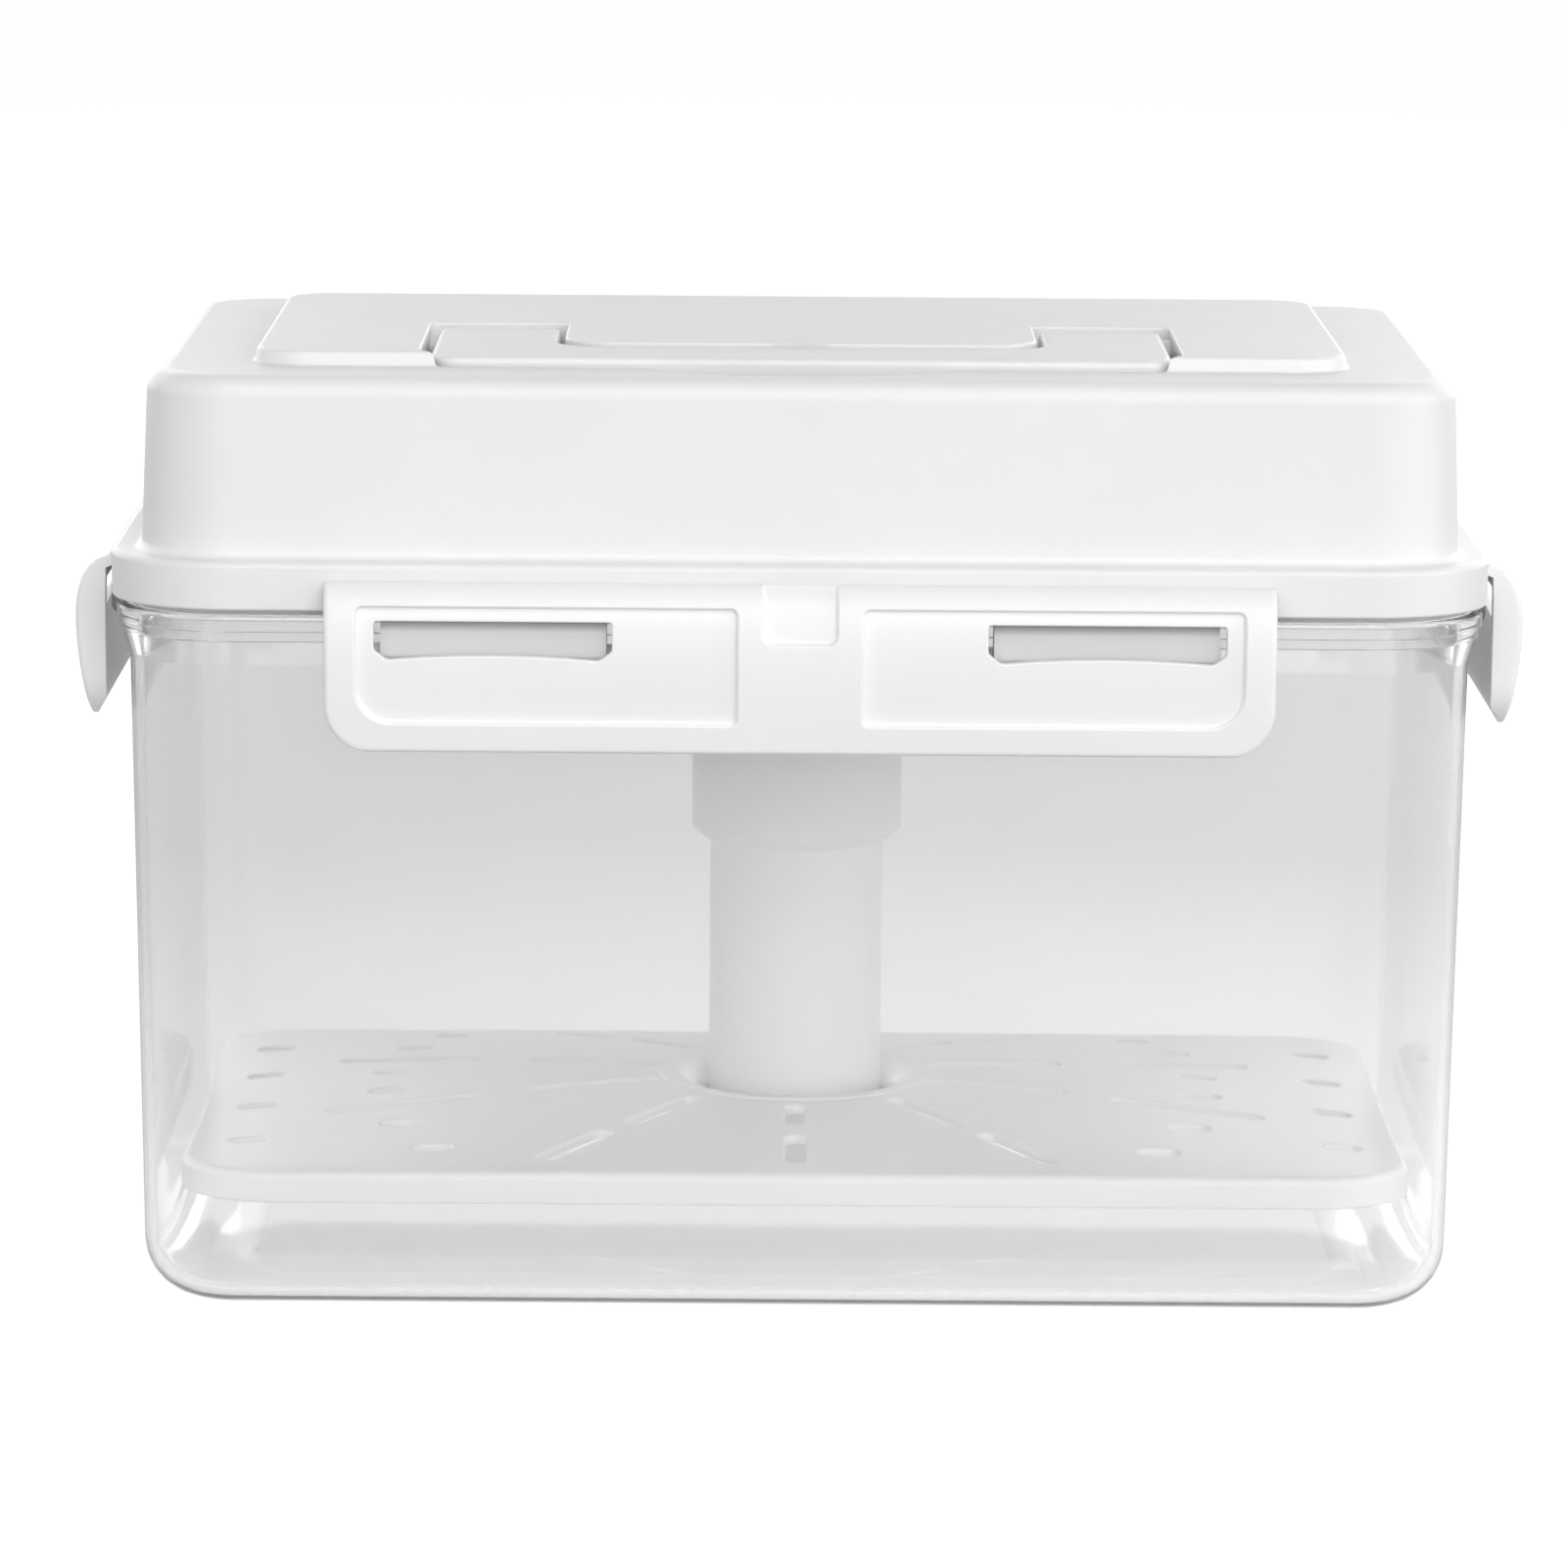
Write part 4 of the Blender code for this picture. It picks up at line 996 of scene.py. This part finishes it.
def plate_slots():
    """Every slot of the press plate: long ones along rays from the column, short ones near the edges."""
    run = plate_half_y - flare_radius
    cutters = []
    for angle, *spans in RAY_SHARES:
        for ray in sorted({angle, 180 - angle, 180 + angle, 360 - angle}):
            for start_share, end_share in spans:
                centre = flare_radius + run * (start_share + end_share) / 2
                length = run * (end_share - start_share)
                x = centre * math.cos(math.radians(ray))
                y = centre * math.sin(math.radians(ray))
                cutters.append(slot_cutter(x, y, length, RAY_SLOT_WIDTH, ray))
    for share_x, share_y in SHORT_SLOT_SHARES:
        for sign_x in (-1, 1):
            for sign_y in (-1, 1):
                x = sign_x * share_x * plate_half_x
                y = sign_y * share_y * plate_half_y
                cutters.append(slot_cutter(x, y, SHORT_SLOT_LENGTH, SHORT_SLOT_WIDTH, 0))
    return joined("slots", *cutters)


def plate_mesh():
    """The press plate: made flat with its slots, raised to its crown, and joined to the round cup."""
    flat = stacked("plate", rectangle(plate_half_x, plate_half_y, PLATE_CORNER), eased([
        (-PLATE_WALL - PLATE_FACE_IN, -PLATE_WALL, 0),
        (-PLATE_WALL, -PLATE_WALL, PLATE_INSIDE_ROUND),
        (-PLATE_WALL, -PLATE_SKIRT, PLATE_FOOT_ROUND),
        (0, -PLATE_SKIRT, PLATE_FOOT_ROUND),
        (0, 0, PLATE_EASE),
        (-PLATE_WALL - PLATE_FACE_IN, 0, 0),
    ]))
    opening = turned(
        "cup_opening",
        [(0, OVERRUN), (flare_radius, OVERRUN), (flare_radius, -PLATE_WALL - OVERRUN), (0, -PLATE_WALL - OVERRUN)],
        closed=False,
    )
    flat = combined(flat, ("DIFFERENCE", opening), ("DIFFERENCE", plate_slots()))
    count_x = int(plate_half_x / PLATE_STRIP)
    count_y = int(plate_half_y / PLATE_STRIP)
    cuts = [(0, step * PLATE_STRIP) for step in range(-count_x, count_x + 1)]
    cuts += [(1, step * PLATE_STRIP) for step in range(-count_y, count_y + 1)]
    bm = sliced(flat, cuts)
    for vert in bm.verts:
        vert.co.z += crown_height(vert.co.x, vert.co.y)
    plate = to_mesh(bm, "plate")

    rim = flare_radius + HUB_RIM
    rim_high = plate_ridge + HUB_BEAD
    rim_low = plate_ridge - PLATE_WALL - HUB_BEAD
    cup = turned("cup", eased([
        (0, hub_floor, 0),
        (hub_radius, hub_floor, PLATE_FOOT_ROUND),
        (hub_radius, rim_high, HUB_FLARE),
        (rim, rim_high, HUB_BEAD),
        (rim, rim_low, HUB_BEAD),
        (hub_radius + PLATE_WALL, rim_low, HUB_FLARE - PLATE_WALL),
        (hub_radius + PLATE_WALL, hub_bottom, EDGE_EASE),
        (0, hub_bottom, 0),
    ], steps=12), closed=False)
    return combined(plate, ("UNION", cup))


# Patterns in the finishes: scale, detail and roughness of each noise, and the span that a noise covers
CLOUDS = (38, 4, 0.55)
GLOSS_PATCHES = (160, 6, 0.6)
GRAIN = (2400, 3, 0.5)
WAVES = (45, 2, 0.4)
NOISE_SPAN = (0.3, 0.7)
GLOSS_SWING = 0.12


def linked(tree, source, target):
    """Joins an output to an input."""
    tree.links.new(source, target)


def noise(tree, scale, detail, roughness):
    """A noise over the object's own coordinates."""
    place = tree.nodes.new("ShaderNodeTexCoord")
    pattern = tree.nodes.new("ShaderNodeTexNoise")
    pattern.inputs["Scale"].default_value = scale
    pattern.inputs["Detail"].default_value = detail
    pattern.inputs["Roughness"].default_value = roughness
    linked(tree, place.outputs["Object"], pattern.inputs["Vector"])
    return pattern.outputs["Fac"]


def remapped(tree, source, span, results):
    """A value carried from one span to another, and held at its ends."""
    ranged = tree.nodes.new("ShaderNodeMapRange")
    ranged.inputs["From Min"].default_value, ranged.inputs["From Max"].default_value = span
    ranged.inputs["To Min"].default_value, ranged.inputs["To Max"].default_value = results
    linked(tree, source, ranged.inputs["Value"])
    return ranged.outputs["Result"]


def bumped(tree, depth, height):
    """A bump of some depth from a noise."""
    bump = tree.nodes.new("ShaderNodeBump")
    bump.inputs["Strength"].default_value = 1.0
    bump.inputs["Distance"].default_value = depth
    linked(tree, height, bump.inputs["Height"])
    return bump


def moulded(name, colour, other_colour, roughness, grain=0.00002, wave=0.0, **sockets):
    """A moulded finish: cloudy colour, uneven gloss, a fine grain and a slow waviness."""
    material = bpy.data.materials.new(name)
    material.use_nodes = True
    tree = material.node_tree
    shader = tree.nodes["Principled BSDF"]
    for socket, value in sockets.items():
        shader.inputs[socket.replace("_", " ")].default_value = value
    ramp = tree.nodes.new("ShaderNodeValToRGB")
    for element, position, shade in zip(ramp.color_ramp.elements, NOISE_SPAN, (other_colour, colour)):
        element.position = position
        element.color = (*shade, 1)
    linked(tree, noise(tree, *CLOUDS), ramp.inputs["Fac"])
    linked(tree, ramp.outputs["Color"], shader.inputs["Base Color"])
    glosses = (roughness * (1 - GLOSS_SWING), roughness * (1 + GLOSS_SWING))
    gloss = remapped(tree, noise(tree, *GLOSS_PATCHES), NOISE_SPAN, glosses)
    linked(tree, gloss, shader.inputs["Roughness"])
    fine = bumped(tree, grain, noise(tree, *GRAIN))
    if wave:
        slow = bumped(tree, wave, noise(tree, *WAVES))
        linked(tree, slow.outputs["Normal"], fine.inputs["Normal"])
    linked(tree, fine.outputs["Normal"], shader.inputs["Normal"])
    return material


white_plastic = moulded("white_plastic", (0.855, 0.857, 0.858), (0.83, 0.833, 0.837), 0.36, wave=0.00006)
column_plastic = moulded("column_plastic", (0.955, 0.958, 0.95), (0.94, 0.944, 0.938), 0.34, wave=0.00005)
frosted_plastic = moulded("frosted_plastic", (0.97, 0.968, 0.95), (0.955, 0.953, 0.935), 0.33)
latch_plastic = moulded("latch_plastic", (0.925, 0.927, 0.925), (0.905, 0.907, 0.905), 0.36, wave=0.00004)
clear_plastic = moulded(
    "clear_plastic", (0.972, 0.975, 0.98), (0.963, 0.967, 0.973), 0.04, grain=0.000002, wave=0.00003,
    Transmission_Weight=0.95, IOR=1.49,
)
# Painted shade: the lugs' grey, slightly warm colour stands for the shade behind the latches' slots; the finish
# itself is matt
matt_clear_plastic = moulded("matt_clear_plastic", (0.70, 0.695, 0.685), (0.67, 0.665, 0.655), 0.5)
silicone = moulded("silicone", (0.90, 0.90, 0.89), (0.88, 0.88, 0.87), 0.55)
spring_steel = moulded("spring_steel", (0.56, 0.56, 0.57), (0.5, 0.5, 0.51), 0.28, Metallic=1.0)

show("clear_tub", tub_mesh(), "tub", clear_plastic, "tub")
show("catch_lugs", lugs_mesh(), "tub", matt_clear_plastic, "tub")
show("domed_lid", lid_mesh(), "lid", white_plastic, "lid_shell")
show("seal_ring", gasket_mesh(), "lid", silicone, "lid_gasket")
show("folding_handle", handle_mesh(), "handle", white_plastic, "carry_handle")
show("upper_column", sleeve_mesh(), "lid", column_plastic, "column_sleeve")
show("lower_column", tube_mesh(), "plunger", column_plastic, "press_tube")
show("slotted_plate", plate_mesh(), "plunger", frosted_plastic, "press_plate")
coil = show("coil_spring", spring_mesh(), "lid", spring_steel, "press_spring")

half_gap = PANEL_GAP / 2
long_end = front_latch_half - PANEL_MARGIN
short_end = side_latch_half - PANEL_MARGIN
long_latch = latch_mesh(
    "long_latch", front_latch_half, [(-long_end, -half_gap), (half_gap, long_end)], [-front_slot, front_slot], True
)
short_latch = latch_mesh("short_latch", side_latch_half, [(-short_end, short_end)], [0], False)
LATCH_SIDES = (
    ("front_latch", long_latch, 0, rim_half_y),
    ("right_latch", short_latch, 90, rim_half_x),
    ("back_latch", long_latch, 180, rim_half_y),
    ("left_latch", short_latch, 270, rim_half_x),
)
for node, mesh, turn, distance in LATCH_SIDES:
    stand = Matrix.Translation((0, -distance - hinge_standoff, hinge_z))
    place = Matrix.Rotation(math.radians(turn), 4, "Z") @ stand
    show("snap_" + node, moved(mesh, place), node, latch_plastic, node)

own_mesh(coil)


# Studio: a pale floor, a white surround, soft lamps and the camera
AMBIENT = 0.12
FLOOR_GLOW = 0.92
FLOOR_BOUNCE = 0.30
FLOOR_GAP = 0.0003
# Painted light: seen through clear plastic, the floor glows brighter to the right and brightest below the object
FLOOR_TILT = 0.33
FLOOR_TILT_REACH = 0.4
FLOOR_GLOW_THROUGH = (0.825, 0.585)
FLOOR_GLOW_RANGE = (0.15, 0.45)
FLOOR_RADIUS = 9.0
FLOOR_SIDES = 96
FLOOR_GREY = 0.18
FLOOR_ROUGHNESS = 0.9
FLOOR_SPECULAR = 0.1
LAMP_TARGET = Vector((0, 0, 0.08))
# Name, place, width, power, and whether it shows in glossy faces; the low front ones would glare on the lid's top
LAMPS = (
    ("front_left", (-0.9, -2.1, 0.42), 1.8, 14.7, False),
    ("front_right", (0.8, -2.2, 0.46), 1.8, 17, False),
    ("front_top", (0.3, -1.5, 1.5), 1.6, 15.5, True),
    ("side_left", (-2.2, -0.1, 0.9), 1.8, 7, True),
    ("side_right", (2.1, -0.6, 0.65), 1.8, 19, True),
    ("rear_left", (-1.3, 2.1, 0.75), 2.2, 22, True),
    ("rear_right", (1.3, 2.1, 0.75), 2.2, 21, True),
)
CAMERA_PLACE = (-0.0072, -1.4178, 0.3286)
CAMERA_TURN = -0.19
CAMERA_TILT = 80.40
CAMERA_ROLL = 0.45
CAMERA_LENS = 168.86
CAMERA_SENSOR = 36
CAMERA_REACH = 60


def computed(tree, operation, *values):
    """The result of one arithmetic step; each value is a number or another node's output."""
    node = tree.nodes.new("ShaderNodeMath")
    node.operation = operation
    for socket, value in zip(node.inputs, values):
        if isinstance(value, bpy.types.NodeSocket):
            linked(tree, value, socket)
        else:
            socket.default_value = value
    return node.outputs[0]


def seen_rays(tree):
    """Masks for the rays that show the surround: straight ones, and mirrored ones or those through clear plastic."""
    path = tree.nodes.new("ShaderNodeLightPath")
    indirect = computed(tree, "MAXIMUM", path.outputs["Is Glossy Ray"], path.outputs["Is Transmission Ray"])
    return path.outputs["Is Camera Ray"], indirect


def make_surround():
    """White for the rays that show it, and a weak light for all others."""
    world = bpy.data.worlds.new("white_surround")
    bpy.context.scene.world = world
    world.use_nodes = True
    tree = world.node_tree
    background = tree.nodes["Background"]
    background.inputs["Color"].default_value = (1, 1, 1, 1)
    seen = computed(tree, "MAXIMUM", *seen_rays(tree))
    linked(tree, remapped(tree, seen, (0, 1), (AMBIENT, 1)), background.inputs["Strength"])


def make_floor():
    """A pale floor that takes the object's shadow and glows more for the rays that show it."""
    bm = bmesh.new()
    bmesh.ops.create_circle(bm, cap_ends=True, segments=FLOOR_SIDES, radius=FLOOR_RADIUS)
    floor = bpy.data.objects.new("floor", to_mesh(bm, "floor"))
    bpy.context.scene.collection.objects.link(floor)
    material = bpy.data.materials.new("pale_floor")
    material.use_nodes = True
    tree = material.node_tree
    shader = tree.nodes["Principled BSDF"]
    shader.inputs["Base Color"].default_value = (FLOOR_GREY, FLOOR_GREY, FLOOR_GREY, 1)
    shader.inputs["Roughness"].default_value = FLOOR_ROUGHNESS
    shader.inputs["Specular IOR Level"].default_value = FLOOR_SPECULAR
    # Painted light: through clear plastic the floor's glow is a painted pool of light, brightest below the object
    # and dimming away from it, and a painted brightening to the right
    place = tree.nodes.new("ShaderNodeTexCoord")
    away = tree.nodes.new("ShaderNodeVectorMath")
    away.operation = "LENGTH"
    linked(tree, place.outputs["Object"], away.inputs[0])
    extra = [glow - FLOOR_BOUNCE for glow in FLOOR_GLOW_THROUGH]
    dimming = remapped(tree, away.outputs["Value"], FLOOR_GLOW_RANGE, extra)
    along = tree.nodes.new("ShaderNodeSeparateXYZ")
    linked(tree, place.outputs["Object"], along.inputs[0])
    tilt_span = (-FLOOR_TILT_REACH, FLOOR_TILT_REACH)
    brightening = remapped(tree, along.outputs["X"], tilt_span, (1 - FLOOR_TILT, 1 + FLOOR_TILT))
    tilted = computed(tree, "MULTIPLY", dimming, brightening)
    straight, indirect = seen_rays(tree)
    through = computed(tree, "MULTIPLY_ADD", indirect, tilted, FLOOR_BOUNCE)
    glow = computed(tree, "MULTIPLY_ADD", straight, FLOOR_GLOW - FLOOR_BOUNCE, through)
    shader.inputs["Emission Color"].default_value = (1, 1, 1, 1)
    linked(tree, glow, shader.inputs["Emission Strength"])
    floor.data.materials.append(material)
    floor.location.z = -FLOOR_GAP


def add_lamp(name, place, size, power, mirrored):
    """A soft square lamp that faces the object."""
    light = bpy.data.lights.new(name, "AREA")
    light.size = size
    light.energy = power
    lamp = bpy.data.objects.new(name, light)
    lamp.location = place
    lamp.rotation_euler = (LAMP_TARGET - Vector(place)).to_track_quat("-Z", "Y").to_euler()
    lamp.visible_glossy = mirrored
    bpy.context.scene.collection.objects.link(lamp)


def make_camera():
    """The camera that took the photograph, as fitted to the box's edges."""
    data = bpy.data.cameras.new("camera")
    data.lens = CAMERA_LENS
    data.sensor_width = CAMERA_SENSOR
    data.clip_end = CAMERA_REACH
    camera = bpy.data.objects.new("camera", data)
    turn = Matrix.Rotation(math.radians(CAMERA_TURN), 4, "Z")
    tilt = Matrix.Rotation(math.radians(CAMERA_TILT), 4, "X")
    roll = Matrix.Rotation(math.radians(CAMERA_ROLL), 4, "Z")
    camera.matrix_world = Matrix.Translation(CAMERA_PLACE) @ turn @ tilt @ roll
    bpy.context.scene.collection.objects.link(camera)
    bpy.context.scene.camera = camera


make_surround()
make_floor()
for lamp_values in LAMPS:
    add_lamp(*lamp_values)
make_camera()
bpy.context.scene.view_settings.view_transform = "Standard"
